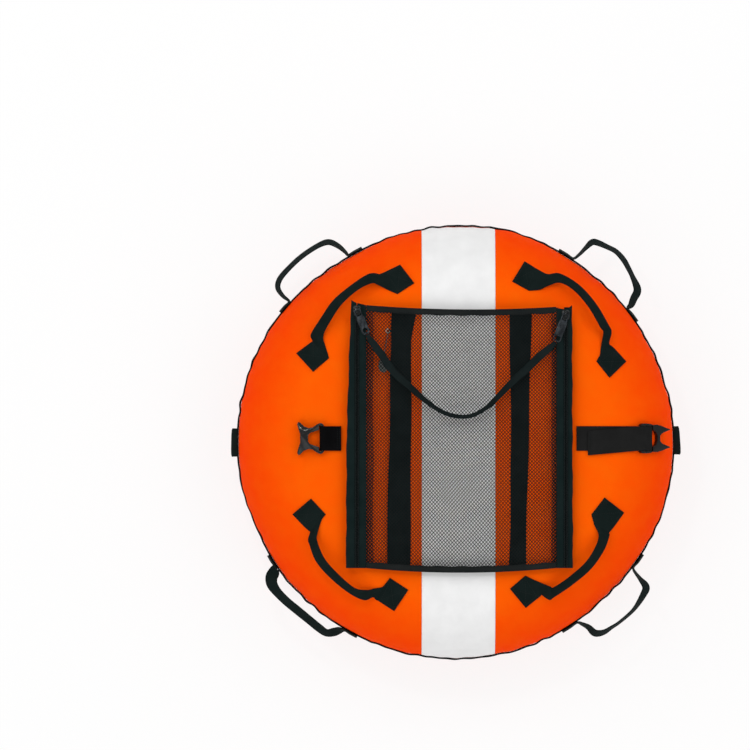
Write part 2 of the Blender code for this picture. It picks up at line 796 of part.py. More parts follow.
def gussets():
    """Cloth walls between the cover and the zip tapes. Their lower edges follow the cover."""
    top_z = POCKET_FLOOR - CLEAR
    steps = 16
    for name, x, outward in (
        ("pocket_gusset_left", LEFT_OUTER_X + GUSSET_THICKNESS, -1.0),
        ("pocket_gusset_right", RIGHT_OUTER_X - GUSSET_THICKNESS, 1.0),
    ):
        rows = []
        for step in range(steps + 1):
            y = POCKET_BOTTOM_Y + (ZIP_TOP_Y - POCKET_BOTTOM_Y) * step / steps
            low = top_height(x, y) + SEAT
            rows.append([(x, y, low), (x, y, top_z)])
        strap(name, rows, GUSSET_THICKNESS, BLACK_TRIM, offset=outward)
    top_z = POCKET_FLOOR - CLEAR - BINDING_LEG - CLEAR
    left = LEFT_OUTER_X + GUSSET_THICKNESS + CLEAR
    right = RIGHT_OUTER_X - GUSSET_THICKNESS - CLEAR
    y = POCKET_BOTTOM_Y + GUSSET_THICKNESS
    rows = []
    for step in range(steps + 1):
        x = left + (right - left) * step / steps
        rows.append([(x, y, top_height(x, y) + SEAT), (x, y, top_z)])
    strap("pocket_gusset_bottom", rows, GUSSET_THICKNESS, BLACK_TRIM, offset=-1.0)


# Pocket zips


def pocket_zip(side, coil_x, outer_x, outward):
    """Two tapes, each with its own row of coil at the groove between them."""
    groove = ZIP_GROOVE / 2
    for half, edge, direction, top_y in (
        ("outer", outer_x, outward, ZIP_TOP_Y + TAPE_PEAK),
        ("inner", coil_x - outward * (groove + INNER_TAPE_WIDTH), -outward, ZIP_TOP_Y),
    ):
        near = coil_x + direction * groove
        low_x, high_x = sorted((near, edge))
        box(
            f"zip_tape_{side}_{half}",
            (low_x, POCKET_BOTTOM_Y, POCKET_FLOOR),
            (high_x, top_y, TAPE_TOP),
            BLACK_TRIM,
        )
        low_x, high_x = sorted((near, near + direction * COIL_ROW_WIDTH))
        box(
            f"zip_coil_{side}_{half}",
            (low_x, ZIP_BOTTOM_Y, TAPE_TOP + CLEAR),
            (high_x, ZIP_TOP_Y, COIL_TOP),
            BLACK_PLASTIC,
        )


def slider_section(width, plate, lip, web, levels):
    """Section of a slider: two plates joined by a web, with lips beside the coil."""
    bottom, tape_bottom, tape_top, coil_top, top = levels
    half, neck = width / 2, web / 2
    right_side = [
        (half, bottom),
        (half, tape_bottom),
        (neck, tape_bottom),
        (neck, coil_top),
        (half - lip, coil_top),
        (half - lip, tape_top),
        (half, tape_top),
        (half, top),
    ]
    return right_side + [(-x, z) for x, z in reversed(right_side)]


def shield_outline(width, length):
    """A slider seen from above: round at its nose, narrower at its tail."""
    half, long_half = width / 2, length / 2
    tail = 0.72 * half
    nose = [
        (half * math.sin(a), long_half - half * 0.7 + half * 0.7 * math.cos(a))
        for a in (math.pi / 2 - math.pi * k / 8 for k in range(9))
    ]
    return nose + [(-half, 0.0), (-tail, -long_half), (tail, -long_half), (half, 0.0)]


def slider(name, coil_x, y, section, outline, top, surface):
    """Drawn about its own origin, which lies on its zip line at the height of its top face."""
    length = max(v for _, v in outline) - min(v for _, v in outline)
    mesh = extruded_mesh(name, [(u, z - top) for u, z in section], "Y", -length / 2, length / 2)
    obj = place(bpy.data.objects.new(name, mesh), surface)
    obj.location = (coil_x, y, top)
    shape = plate_mesh(name + "_outline", [outline], 0.04)
    cutter = cut(obj, name + "_outline", shape, "INTERSECT")
    cutter.location = obj.location
    return obj


def bridge_mesh(name):
    """A low arch along the slider, sunk a little into its top plate."""
    half, foot = BRIDGE_LENGTH / 2, -0.0008
    rise = BRIDGE_HEIGHT
    inner_half, inner_rise = half - BRIDGE_STRAP, rise - BRIDGE_STRAP
    outline = [
        (-half, foot),
        (-half, rise * 0.7),
        (-half * 0.75, rise),
        (half * 0.75, rise),
        (half, rise * 0.7),
        (half, foot),
        (inner_half, foot),
        (inner_half, inner_rise * 0.75),
        (inner_half * 0.8, inner_rise),
        (-inner_half * 0.8, inner_rise),
        (-inner_half, inner_rise * 0.75),
        (-inner_half, foot),
    ]
    return extruded_mesh(name, outline, "X", -BRIDGE_WIDTH / 2, BRIDGE_WIDTH / 2)


def rounded_rectangle(width, length, radius, centre=(0.0, 0.0), steps=4):
    points = []
    for k, (sx, sy) in enumerate(((1, 1), (-1, 1), (-1, -1), (1, -1))):
        cx = centre[0] + sx * (width / 2 - radius)
        cy = centre[1] + sy * (length / 2 - radius)
        for step in range(steps + 1):
            angle = math.pi / 2 * (k + step / steps)
            points.append((cx + radius * math.cos(angle), cy + radius * math.sin(angle)))
    return points


def circle(radius, centre, steps=12):
    return [
        (
            centre[0] + radius * math.cos(2 * math.pi * k / steps),
            centre[1] + radius * math.sin(2 * math.pi * k / steps),
        )
        for k in range(steps)
    ]


def pull(name, slider_obj, length, turn, end_hole):
    """A flat pull from the bridge to its tip. Its eye takes the bridge, its end hole the cord."""
    bar = 0.0022
    eye_length = 0.0100
    eye_end = bar / 2
    body_start = eye_end - bar - eye_length - 0.001
    outer = [
        (-PULL_EYE_WIDTH / 2 - 0.001, eye_end + bar / 2),
        (PULL_EYE_WIDTH / 2 + 0.001, eye_end + bar / 2),
        (PULL_EYE_WIDTH / 2 + 0.001, body_start),
        (PULL_WIDTH / 2, body_start - 0.004),
        (PULL_WIDTH / 2, -length + 0.004),
        (PULL_WIDTH / 2 - 0.003, -length),
        (-PULL_WIDTH / 2 + 0.003, -length),
        (-PULL_WIDTH / 2, -length + 0.004),
        (-PULL_WIDTH / 2, body_start - 0.004),
        (-PULL_EYE_WIDTH / 2 - 0.001, body_start),
    ]
    eye_hole = rounded_rectangle(
        PULL_EYE_WIDTH - 0.002, eye_length, 0.001, (0.0, -eye_end - eye_length / 2), steps=2
    )
    mesh = plate_mesh(name, [outer, eye_hole, end_hole], PULL_THICKNESS)
    obj = place(bpy.data.objects.new(name, mesh), SLIDER_METAL)
    obj.parent = slider_obj
    obj.location = (0.0, 0.0, CLEAR + PULL_THICKNESS / 2)
    obj.rotation_euler = (0.0, 0.0, turn)


def pocket_sliders():
    levels = (
        POCKET_FLOOR - RUNNING - SLIDER_PLATE,
        POCKET_FLOOR - RUNNING,
        TAPE_TOP + RUNNING,
        COIL_TOP + RUNNING,
        SLIDER_TOP,
    )
    section = slider_section(SLIDER_WIDTH, SLIDER_PLATE, SLIDER_LIP, SLIDER_WEB, levels)
    outline = shield_outline(SLIDER_WIDTH, SLIDER_LENGTH)
    round_hole = circle(0.0045, (0.0, -LEFT_PULL_LENGTH + 0.0075))
    frame_hole = rounded_rectangle(0.0105, 0.0085, 0.0015, (0.0, -RIGHT_PULL_LENGTH + 0.0065), steps=2)
    for side, coil_x, y, length, turn, hole in (
        ("left", LEFT_COIL_X, LEFT_SLIDER_Y, LEFT_PULL_LENGTH, LEFT_PULL_TURN, round_hole),
        ("right", RIGHT_COIL_X, RIGHT_SLIDER_Y, RIGHT_PULL_LENGTH, RIGHT_PULL_TURN, frame_hole),
    ):
        name = f"zip_slider_{side}"
        obj = slider(name, coil_x, y, section, outline, SLIDER_TOP, SLIDER_METAL)
        cut(obj, name + "_bridge", bridge_mesh(name + "_bridge"), "UNION", parent=obj)
        pull(f"zip_pull_{side}", obj, length, turn, hole)


def pull_cord():
    points = smooth_route(CORD_ROUTE, CORD_SPACING)
    mesh = tube_mesh("pull_cord", points, CORD_DIAMETER / 2, resolution=1)
    place(bpy.data.objects.new("pull_cord", mesh), BLACK_WEBBING)


# Access zip under the pocket


def access_zip():
    inner_face = COVER_HEIGHT - COVER_CLOTH
    tape_top = inner_face - CLEAR
    tape_bottom = tape_top - ACCESS_TAPE_THICKNESS
    coil_top = tape_top + CLEAR + ACCESS_COIL_HEIGHT
    slider_top = coil_top + RUNNING + ACCESS_SLIDER_PLATE
    groove = ZIP_GROOVE / 2
    for half, direction in (("left", -1), ("right", 1)):
        near = ACCESS_COIL_X + direction * groove
        low_x, high_x = sorted((near, near + direction * ACCESS_TAPE_WIDTH))
        box(
            f"access_tape_{half}",
            (low_x, ACCESS_BOTTOM_Y - 0.004, tape_bottom),
            (high_x, ACCESS_TOP_Y + 0.004, tape_top),
            BLACK_TRIM,
        )
        low_x, high_x = sorted((near, near + direction * ACCESS_COIL_WIDTH))
        box(
            f"access_coil_{half}",
            (low_x, ACCESS_BOTTOM_Y + CLEAR, tape_top + CLEAR),
            (high_x, ACCESS_TOP_Y - CLEAR, coil_top),
            BLACK_PLASTIC,
        )
    levels = (
        tape_bottom - RUNNING - ACCESS_SLIDER_PLATE,
        tape_bottom - RUNNING,
        tape_top + RUNNING,
        coil_top + RUNNING,
        slider_top,
    )
    section = slider_section(
        ACCESS_SLIDER_WIDTH, ACCESS_SLIDER_PLATE, ACCESS_SLIDER_LIP, SLIDER_WEB, levels
    )
    outline = shield_outline(ACCESS_SLIDER_WIDTH, ACCESS_SLIDER_LENGTH)
    name = "access_zip_slider"
    obj = slider(name, ACCESS_COIL_X, ACCESS_SLIDER_Y, section, outline, slider_top, SLIDER_METAL)
    lug_end = -(ACCESS_SLIDER_WIDTH / 2 + ACCESS_LUG_REACH)
    lug = box_mesh(
        "access_lug",
        (lug_end, -ACCESS_LUG_WIDTH / 2, -ACCESS_LUG_THICKNESS / 2),
        (0.0, ACCESS_LUG_WIDTH / 2, ACCESS_LUG_THICKNESS / 2),
    )
    cut(obj, "access_lug", lug, "UNION", parent=obj)
    arch_x = lug_end + LUG_ARCH_SPAN / 2 + 0.0002
    cut(obj, "access_arch", arch_mesh("access_arch", arch_x), "UNION", parent=obj)
    access_pull(obj, arch_x, slider_top)


def arch_mesh(name, middle):
    """A small staple over the lug, which the pull's ring passes under."""
    half = LUG_ARCH_SPAN / 2
    inner_half = half - LUG_ARCH_STRAP
    inner_top = ACCESS_LUG_THICKNESS / 2 + 2 * PULL_RING_WIRE + 2 * CLEAR
    shoulder = inner_top - LUG_ARCH_STRAP / 2
    outline = [
        (middle - half, 0.0),
        (middle - half, shoulder),
        (middle - inner_half, inner_top + LUG_ARCH_STRAP),
        (middle + inner_half, inner_top + LUG_ARCH_STRAP),
        (middle + half, shoulder),
        (middle + half, 0.0),
        (middle + inner_half, 0.0),
        (middle + inner_half, inner_top),
        (middle - inner_half, inner_top),
        (middle - inner_half, 0.0),
    ]
    return extruded_mesh(name, outline, "Y", -0.0008, 0.0008)


def access_pull(slider_obj, arch_x, slider_top):
    """A wire ring under the lug's arch, and a cord loop with a moulded tab that lies on the cover."""
    ring_z = ACCESS_LUG_THICKNESS / 2 + CLEAR + PULL_RING_WIRE
    ring_x = arch_x - PULL_RING_RADIUS
    ring_points = [
        (ring_x + u, v, ring_z)
        for u, v in circle(PULL_RING_RADIUS, (0.0, 0.0), 16)
    ]
    mesh = tube_mesh("access_pull_ring", ring_points, PULL_RING_WIRE, cyclic=True, resolution=1)
    ring = place(bpy.data.objects.new("access_pull_ring", mesh), SLIDER_METAL)
    ring.parent = slider_obj

    tab_x = PULL_TAB_X - ACCESS_COIL_X
    tab_y = PULL_TAB_Y - ACCESS_SLIDER_Y
    tab_z = COVER_HEIGHT + CLEAR + PULL_TAB_THICKNESS / 2 - slider_top
    outline = [
        (PULL_TAB_WIDTH / 2 * math.cos(a) * (1.0 - 0.12 * math.sin(a)), PULL_TAB_LENGTH / 2 * math.sin(a))
        for a in (2 * math.pi * k / 20 for k in range(20))
    ]
    tab_mesh = plate_mesh("access_zip_pull", [outline], PULL_TAB_THICKNESS)
    tab = place(bpy.data.objects.new("access_zip_pull", tab_mesh), GREY_RUBBER)
    tab.parent = slider_obj
    tab.location = (tab_x, tab_y, tab_z)
    spread = PULL_RING_WIRE + PULL_LOOP_WIRE + CLEAR
    ring_end = (ring_x - tab_x, -PULL_RING_RADIUS - tab_y, ring_z - tab_z)
    foot = (0.0, PULL_TAB_LENGTH / 2 - 0.003, 0.0)
    loop = []
    for sign in (1, -1):
        for share in (0.0, 0.3, 0.65, 0.9) if sign > 0 else (0.9, 0.65, 0.3, 0.0):
            x, y, z = (foot[i] + (ring_end[i] - foot[i]) * share for i in range(3))
            loop.append((x, y, z + sign * (0.0006 + (spread - 0.0006) * share)))
        if sign > 0:
            x, y, z = ring_end
            for angle in (60, 0, -60):
                rise = spread * math.sin(math.radians(angle))
                loop.append((x, y + spread * math.cos(math.radians(angle)), z + rise))
    loop_mesh = tube_mesh("access_loop", loop, PULL_LOOP_WIRE, cyclic=True, resolution=1)
    cut(tab, "access_loop", loop_mesh, "UNION", parent=tab)


def flaps():
    """The storm flap over the access zip, hemmed to the cover along its right edge, and the plain band."""
    seat = COVER_HEIGHT + CLEAR
    section = [
        (FLAP_RIGHT_X, seat),
        (FLAP_RIGHT_X - FLAP_HEM, seat),
        (FLAP_RIGHT_X - 2 * FLAP_HEM, seat + FLAP_RISE),
        (FLAP_LEFT_X, seat + FLAP_RISE),
    ]
    rows = [[(x, y, z) for x, z in section] for y in (BAND_TOP_Y, BAND_BOTTOM_Y)]
    strap("access_flap", rows, FLAP_THICKNESS, BLACK_TRIM, offset=-1.0)
    box(
        "inner_band_right",
        (BAND_LEFT_X, BAND_BOTTOM_Y, seat),
        (BAND_RIGHT_X, BAND_TOP_Y, seat + BAND_THICKNESS),
        BLACK_TRIM,
    )


# Webbing handles


def top_handle(side, edges):
    """A strap sewn down at both ends, narrowed and lifted between them."""
    pairs = [(Vector(row[:2]), Vector(row[2:])) for row in edges]
    for at in (1, len(edges)):
        before, after = pairs[at - 1], pairs[at]
        pairs.insert(at, (before[0].lerp(after[0], 0.5), before[1].lerp(after[1], 0.5)))
    middles = [(outer + inner) / 2 for outer, inner in pairs]
    reach = [0.0]
    for here, there in zip(middles, middles[1:]):
        reach.append(reach[-1] + (there - here).length)
    start, end = reach[SEWN_ROWS - 1], reach[-SEWN_ROWS]
    first_outer, first_inner = pairs[0]
    faces_up = (pairs[1][0] - first_outer).cross(first_inner - first_outer) > 0
    rows = []
    for (outer, inner), at in zip(pairs, reach):
        points = [outer.lerp(inner, step / ACROSS_STEPS) for step in range(ACROSS_STEPS + 1)]
        heights = [top_height(x, y) + SEAT for x, y in points]
        free = max(0.0, min(at - start, end - at) / ((end - start) / 2))
        flat = max(heights) + GRIP_RISE * smoothstep(free * RISE_STEEPNESS)
        level = smoothstep(free * LEVEL_STEEPNESS)
        row = [(x, y, height + (flat - height) * level) for (x, y), height in zip(points, heights)]
        rows.append(row if faces_up else row[::-1])
    strap(f"top_handle_{side}", rows, WEB_THICKNESS, BLACK_WEBBING)


def rim_handle(side, first_foot, last_foot, free_points):
    """A strap on edge, sewn to the rim at both ends and bowed out between them."""
    feet = []
    for start, end in (first_foot, last_foot):
        feet.append([(start + (end - start) * share, CLEAR, 0.0) for share in (0.0, 0.5, 1.0)])
    route = feet[0] + free_points + feet[1]
    places = [polar(PIPING_OUTER + past, degrees) for degrees, past, _ in route]
    rows = []
    for k, (middle, (_, _, lean)) in enumerate(zip(places, route)):
        before, after = places[max(0, k - 1)], places[min(len(route) - 1, k + 1)]
        way = (after - before).normalized()
        outward = Vector((-way.y, way.x))
        tilt = math.radians(lean)
        row = []
        for share in (-0.5, 0.0, 0.5):
            along = share * RIM_WEB_WIDTH
            x, y = middle - outward * (along * math.sin(tilt))
            row.append((x, y, SEAM_HEIGHT + along * math.cos(tilt)))
        rows.append(row)
    strap(f"rim_handle_{side}", rows, WEB_THICKNESS, BLACK_WEBBING, offset=-1.0)


def side_loop(side, direction):
    """A short wide loop of webbing over the piping, open from front to back."""
    half_gap = PIPING_RADIUS + CLEAR
    inner_end = PIPING_OUTER + LOOP_REACH - WEB_THICKNESS - half_gap
    section = [(COVER_RADIUS + CLEAR * 2, half_gap)]
    for k in range(7):
        angle = math.pi / 2 - math.pi * k / 6
        section.append((inner_end + half_gap * math.cos(angle), half_gap * math.sin(angle)))
    section.append((COVER_RADIUS + CLEAR * 2, -half_gap))
    rows = []
    for radius, height in section:
        row = []
        for share in (0.5, -0.5):
            row.append((direction * radius, share * LOOP_WIDTH, SEAM_HEIGHT + height))
        rows.append(row)
    strap(f"side_loop_{side}", rows, WEB_THICKNESS, BLACK_WEBBING, offset=-float(direction))


# Buckle


def mirrored(points):
    return points + [(u, -v) for u, v in reversed(points)]


def buckle_female():
    """Seen from above: round shoulders at the bar, a waist, and two horns beside the mouth."""
    shoulder = -FEMALE_BAR_START
    shoulder_v = FEMALE_SHOULDER_HALF_WIDTH - shoulder
    turns = [math.pi / 2, math.pi / 3, math.pi / 6]
    half = [(-shoulder * math.sin(a), shoulder_v + shoulder * math.cos(a)) for a in turns]
    half += [
        (0.0, FEMALE_SHOULDER_HALF_WIDTH),
        (0.0055, FEMALE_SHOULDER_HALF_WIDTH - 0.0025),
        (0.0130, FEMALE_WAIST_HALF_WIDTH + 0.0015),
        (0.0210, FEMALE_WAIST_HALF_WIDTH),
        (0.0300, FEMALE_WAIST_HALF_WIDTH + 0.0035),
        (0.0360, FEMALE_TIP_HALF_WIDTH - 0.0020),
        (0.0395, FEMALE_TIP_HALF_WIDTH),
        (FEMALE_LENGTH, FEMALE_TIP_HALF_WIDTH - 0.0040),
        (FEMALE_LENGTH - 0.0020, 0.0190),
        (FEMALE_LENGTH - 0.0055, 0.0080),
    ]
    slot = BUCKLE_SLOT_WIDTH / 2
    window = mirrored(
        [(FEMALE_BAR_END, slot), (0.0022, slot), (0.0022, 0.0155), (0.0180, 0.0105), (0.0220, 0.0060)]
    )
    mesh = plate_mesh("buckle_female", [mirrored(half), window], FEMALE_THICKNESS)
    obj = place(bpy.data.objects.new("buckle_female", mesh), BLACK_PLASTIC)
    mouth = box_mesh(
        "buckle_mouth",
        (0.0200, -FEMALE_MOUTH_HALF_WIDTH, -FEMALE_MOUTH_HEIGHT / 2),
        (FEMALE_LENGTH + 0.01, FEMALE_MOUTH_HALF_WIDTH, FEMALE_MOUTH_HEIGHT / 2),
    )
    cut(obj, "buckle_mouth", mouth, parent=obj)
    thin_bar(obj, "female", FEMALE_BAR_START - 0.01, FEMALE_BAR_END + 0.001, FEMALE_BAR_THICKNESS)
    obj.location = (FEMALE_X, BUCKLE_Y, COVER_HEIGHT + FEMALE_LIFT)
    obj.rotation_euler = (0.0, 0.0, math.pi)


def thin_bar(obj, name, start, end, thickness):
    """Room for the webbing above and below a buckle's bars, between its side cheeks."""
    reach = BUCKLE_SLOT_WIDTH / 2 - 2 * CLEAR
    for side, low, high in (("above", thickness / 2, 0.02), ("below", -0.02, -thickness / 2)):
        room = box_mesh(f"{name}_room_{side}", (start, -reach, low), (end, reach, high))
        cut(obj, f"{name}_room_{side}", room, parent=obj)


def buckle_tab():
    """Webbing sewn to the cover, folded round the bar and back over itself."""
    bar_z = COVER_HEIGHT + FEMALE_LIFT
    face = FEMALE_BAR_THICKNESS / 2 + CLEAR
    bar_left = FEMALE_X - FEMALE_BAR_END - CLEAR
    bar_right = FEMALE_X - FEMALE_BAR_START
    low = COVER_HEIGHT + CLEAR + WEB_THICKNESS
    layer = 2 * CLEAR
    section = [
        (TAB_END_X, low),
        (bar_right + 0.0070, low),
        (bar_right, bar_z - face),
        (bar_left + CLEAR, bar_z - face),
        (bar_left, bar_z - face + CLEAR),
        (bar_left, bar_z + face - CLEAR),
        (bar_left + CLEAR, bar_z + face),
        (bar_right, bar_z + face),
        (bar_right + 0.0130, low + layer),
        (TAB_END_X, low + layer),
    ]
    half = BUCKLE_WEB_WIDTH / 2
    rows = [[(x, BUCKLE_Y + s * half, z) for s in (1, -1)] for x, z in section]
    strap("buckle_tab", rows, WEB_THICKNESS, BLACK_WEBBING, offset=-1.0)


def male_height():
    return top_height(MALE_START_X, 0.0) + MALE_LIFT


def buckle_male():
    """Seen from above: a frame with two bars, a bridge with a window, and two bowed prongs."""
    half = [
        (0.0020, 0.0245),
        (0.0045, 0.0270),
        (0.0120, MALE_BASE_HALF_WIDTH),
        (0.0240, 0.0265),
        (0.0300, 0.0245),
        (0.0400, 0.0250),
        (0.0520, 0.0225),
        (0.0620, 0.0190),
        (MALE_LENGTH, MALE_TIP_HALF_WIDTH + 0.0008),
        (MALE_LENGTH, MALE_TIP_HALF_WIDTH - 0.0008),
        (0.0610, 0.0125),
        (0.0520, 0.0095),
        (0.0470, 0.0050),
    ]
    slot = BUCKLE_SLOT_WIDTH / 2 - CLEAR
    window = mirrored(
        [(MALE_BAR_END, slot), (0.0300, slot), (0.0300, 0.0160), (0.0370, 0.0120), (0.0408, 0.0050)]
    )
    rear_slot = rounded_rectangle(0.0095, BUCKLE_SLOT_WIDTH, 0.0012, (0.0135, 0.0), steps=2)
    mesh = plate_mesh("buckle_male", [mirrored(half), window, rear_slot], MALE_THICKNESS)
    obj = place(bpy.data.objects.new("buckle_male", mesh), BLACK_PLASTIC)
    thin_bar(obj, "male", -0.01, MALE_BAR_END + 0.001, MALE_BAR_THICKNESS)
    obj.location = (MALE_START_X, BUCKLE_Y, male_height())
    obj.rotation_euler = (0.0, MALE_TILT, 0.0)


def buckle_strap():
    """Webbing that lies down the cover, folds round the male half's bar and back over itself."""
    face = MALE_BAR_THICKNESS / 2 + CLEAR
    end = MALE_BAR_END + CLEAR

    def on_buckle(along, up):
        x = MALE_START_X + along * math.cos(MALE_TILT) + up * math.sin(MALE_TILT)
        return (x, male_height() - along * math.sin(MALE_TILT) + up * math.cos(MALE_TILT))

    def on_cover(x, layer):
        return (x, top_height(x, 0.0) + SEAT + WEB_THICKNESS + layer)

    steps = 5
    lower = []
    upper = []
    for step in range(steps + 1):
        x = STRAP_START_X + (STRAP_LEAVES_X - STRAP_START_X) * step / steps
        lower.append((on_cover(x, 0.0), 0.0))
        x = STRAP_LEAVES_X + (STRAP_END_X - STRAP_LEAVES_X) * step / steps
        upper.append((on_cover(x, 2 * CLEAR), STRAP_SWING * (0.3 + 0.7 * step / steps)))
    wrap = [
        on_buckle(0.0030, -face),
        on_buckle(end - CLEAR, -face),
        on_buckle(end, -face + CLEAR),
        on_buckle(end, face - CLEAR),
        on_buckle(end - CLEAR, face),
        on_buckle(0.0010, face),
    ]
    half = BUCKLE_WEB_WIDTH / 2
    rows = []
    for (x, z), swing in lower + [(point, 0.0) for point in wrap] + upper:
        rows.append([(x, BUCKLE_Y + s * half - swing, z) for s in (1, -1)])
    strap("buckle_strap", rows, WEB_THICKNESS, BLACK_WEBBING, offset=1.0)


# Underside


def bottom_straps():
    """Two straps crossed under the dish. The one along Y passes below the one along X."""
    steps = 12
    half = BOTTOM_STRAP_WIDTH / 2
    for name, along_x, step_down, offset in (
        ("bottom_strap_x", True, 0.0, -1.0),
        ("bottom_strap_y", False, BOTTOM_STRAP_THICKNESS + CLEAR, 1.0),
    ):
        rows = []
        for step in range(steps + 1):
            place_along = BOTTOM_STRAP_HALF_LENGTH * (2 * step / steps - 1)
            crossing = 1 - smoothstep((abs(place_along) - half - 0.004) / 0.03)
            row = []
            for share in (-0.5, 0.0, 0.5):
                across = share * BOTTOM_STRAP_WIDTH
                level = min(dish_height(math.hypot(place_along, s)) for s in (0.0, half))
                z = level - SEAT - step_down * crossing
                row.append((place_along, across, z) if along_x else (across, place_along, z))
            rows.append(row)
        strap(name, rows, BOTTOM_STRAP_THICKNESS, BLACK_WEBBING, offset=offset)


def ring_level():
    """Height of the line ring's bar, which hangs in the keeper under the lower strap."""
    under_straps = DISH_DEPTH - SEAT - 2 * BOTTOM_STRAP_THICKNESS - CLEAR
    return under_straps - CLEAR - RING_WIRE_RADIUS - CLEAR


def ring_keeper():
    """A short webbing loop round the ring's bar, sewn up against the crossed straps."""
    top = ring_level() + RING_WIRE_RADIUS + CLEAR
    radius = RING_WIRE_RADIUS + CLEAR
    section = [(-KEEPER_LEG, top), (-radius - 0.0015, top)]
    for k in range(7):
        angle = math.pi + math.pi * k / 6
        section.append((radius * math.cos(angle), ring_level() + radius * math.sin(angle)))
    section += [(radius + 0.0015, top), (KEEPER_LEG, top)]
    rows = [[(s * KEEPER_WIDTH / 2, y, z) for s in (-1, 1)] for y, z in section]
    strap("ring_keeper", rows, KEEPER_THICKNESS, BLACK_WEBBING)


def line_ring():
    """A welded ring with one straight side, on which it turns. It hangs until its tip nears the ground."""
    half = RING_HALF_WIDTH
    points = [(-half, 0.0, 0.0), (-half / 2, 0.0, 0.0), (half / 2, 0.0, 0.0), (half, 0.0, 0.0)]
    arc_steps = 12
    shoulder = RING_REACH - half
    for step in range(arc_steps + 1):
        angle = -math.pi * step / arc_steps
        points.append((half * math.cos(angle), -shoulder + half * math.sin(angle), 0.0))
    mesh = tube_mesh("line_ring", points, RING_WIRE_RADIUS, cyclic=True)
    obj = place(bpy.data.objects.new("line_ring", mesh), RING_STEEL)
    obj.location = (0.0, 0.0, ring_level())
    drop = ring_level() - RING_WIRE_RADIUS - CLEAR
    obj.rotation_euler = (math.asin(drop / RING_REACH), 0.0, 0.0)


bladder()
valve()
cover()
rim_piping()
net()
bindings()
gussets()
pocket_zip("left", LEFT_COIL_X, LEFT_OUTER_X, -1)
pocket_zip("right", RIGHT_COIL_X, RIGHT_OUTER_X, 1)
pocket_sliders()
pull_cord()
access_zip()
flaps()
for handle_side, handle_edges in TOP_HANDLES.items():
    top_handle(handle_side, handle_edges)
for handle_side, sizes in RIM_HANDLES.items():
    rim_handle(handle_side, *sizes)
side_loop("right", 1)
side_loop("left", -1)
buckle_female()
buckle_tab()
buckle_male()
buckle_strap()
bottom_straps()
ring_keeper()
line_ring()
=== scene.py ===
import math
import random

import bmesh
import bpy
import numpy as np
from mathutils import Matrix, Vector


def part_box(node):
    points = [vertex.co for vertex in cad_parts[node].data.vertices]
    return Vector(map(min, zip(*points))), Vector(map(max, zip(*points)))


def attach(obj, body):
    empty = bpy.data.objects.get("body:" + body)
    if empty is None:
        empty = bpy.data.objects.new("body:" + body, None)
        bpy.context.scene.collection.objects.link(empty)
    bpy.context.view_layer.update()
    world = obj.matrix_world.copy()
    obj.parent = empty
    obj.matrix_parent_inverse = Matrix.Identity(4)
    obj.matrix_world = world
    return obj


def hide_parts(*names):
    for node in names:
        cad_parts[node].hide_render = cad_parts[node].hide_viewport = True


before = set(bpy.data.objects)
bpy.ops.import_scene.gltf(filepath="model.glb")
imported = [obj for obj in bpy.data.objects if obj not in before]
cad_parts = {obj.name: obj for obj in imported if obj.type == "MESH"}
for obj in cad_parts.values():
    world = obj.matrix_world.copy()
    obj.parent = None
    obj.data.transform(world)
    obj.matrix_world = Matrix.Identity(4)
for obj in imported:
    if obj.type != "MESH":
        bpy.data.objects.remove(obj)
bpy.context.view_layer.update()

# The photograph's frame: the view is straight down, with the disc's centre here
PHOTO_SIZE = 750
DISC_CENTRE = (456.0, 442.5)
METRES_PER_PIXEL = 0.00184
LENS = 600.0
SENSOR = 36.0
FLOOR_WHITE = 0.80

# Cover, as the frame has it
CLEAR = 0.0003
SEAT = 0.0005
COVER_RADIUS = 0.3945
COVER_HEIGHT = 0.240
SEAM_HEIGHT = COVER_HEIGHT / 2
FLAT_RADIUS = 0.275
REST_INNER_RADIUS = 0.225
DISH_RADIUS = 0.090
DISH_DEPTH = 0.026
COVER_CLOTH = 0.0012
PIPING_RADIUS = 0.0017
SEAM_REACH = 0.0014
STRIPE_LEFT = -0.0635
STRIPE_RIGHT = 0.0715
PIPING_OUTER = 0.3998
AROUND = 360
POCKET_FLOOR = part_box("pocket_mesh")[0][2]
WEB_THICKNESS = 0.0020
UP = np.array([0.0, 0.0, 1.0])

# How far the rim stands out from its mean circle, in metres, at angles in degrees
RIM_OUTLINE = [
    (0, 0.0030), (20, 0.0015), (45, -0.0005), (62, 0.0010), (75, 0.0040), (90, 0.0010),
    (104, -0.0015), (120, -0.0035), (132, -0.0010), (150, 0.0038), (175, 0.0045), (192, 0.0042),
    (203, 0.0000), (215, 0.0035), (235, 0.0012), (262, 0.0000), (290, 0.0000), (315, -0.0028),
    (335, 0.0015), (350, 0.0028),
]

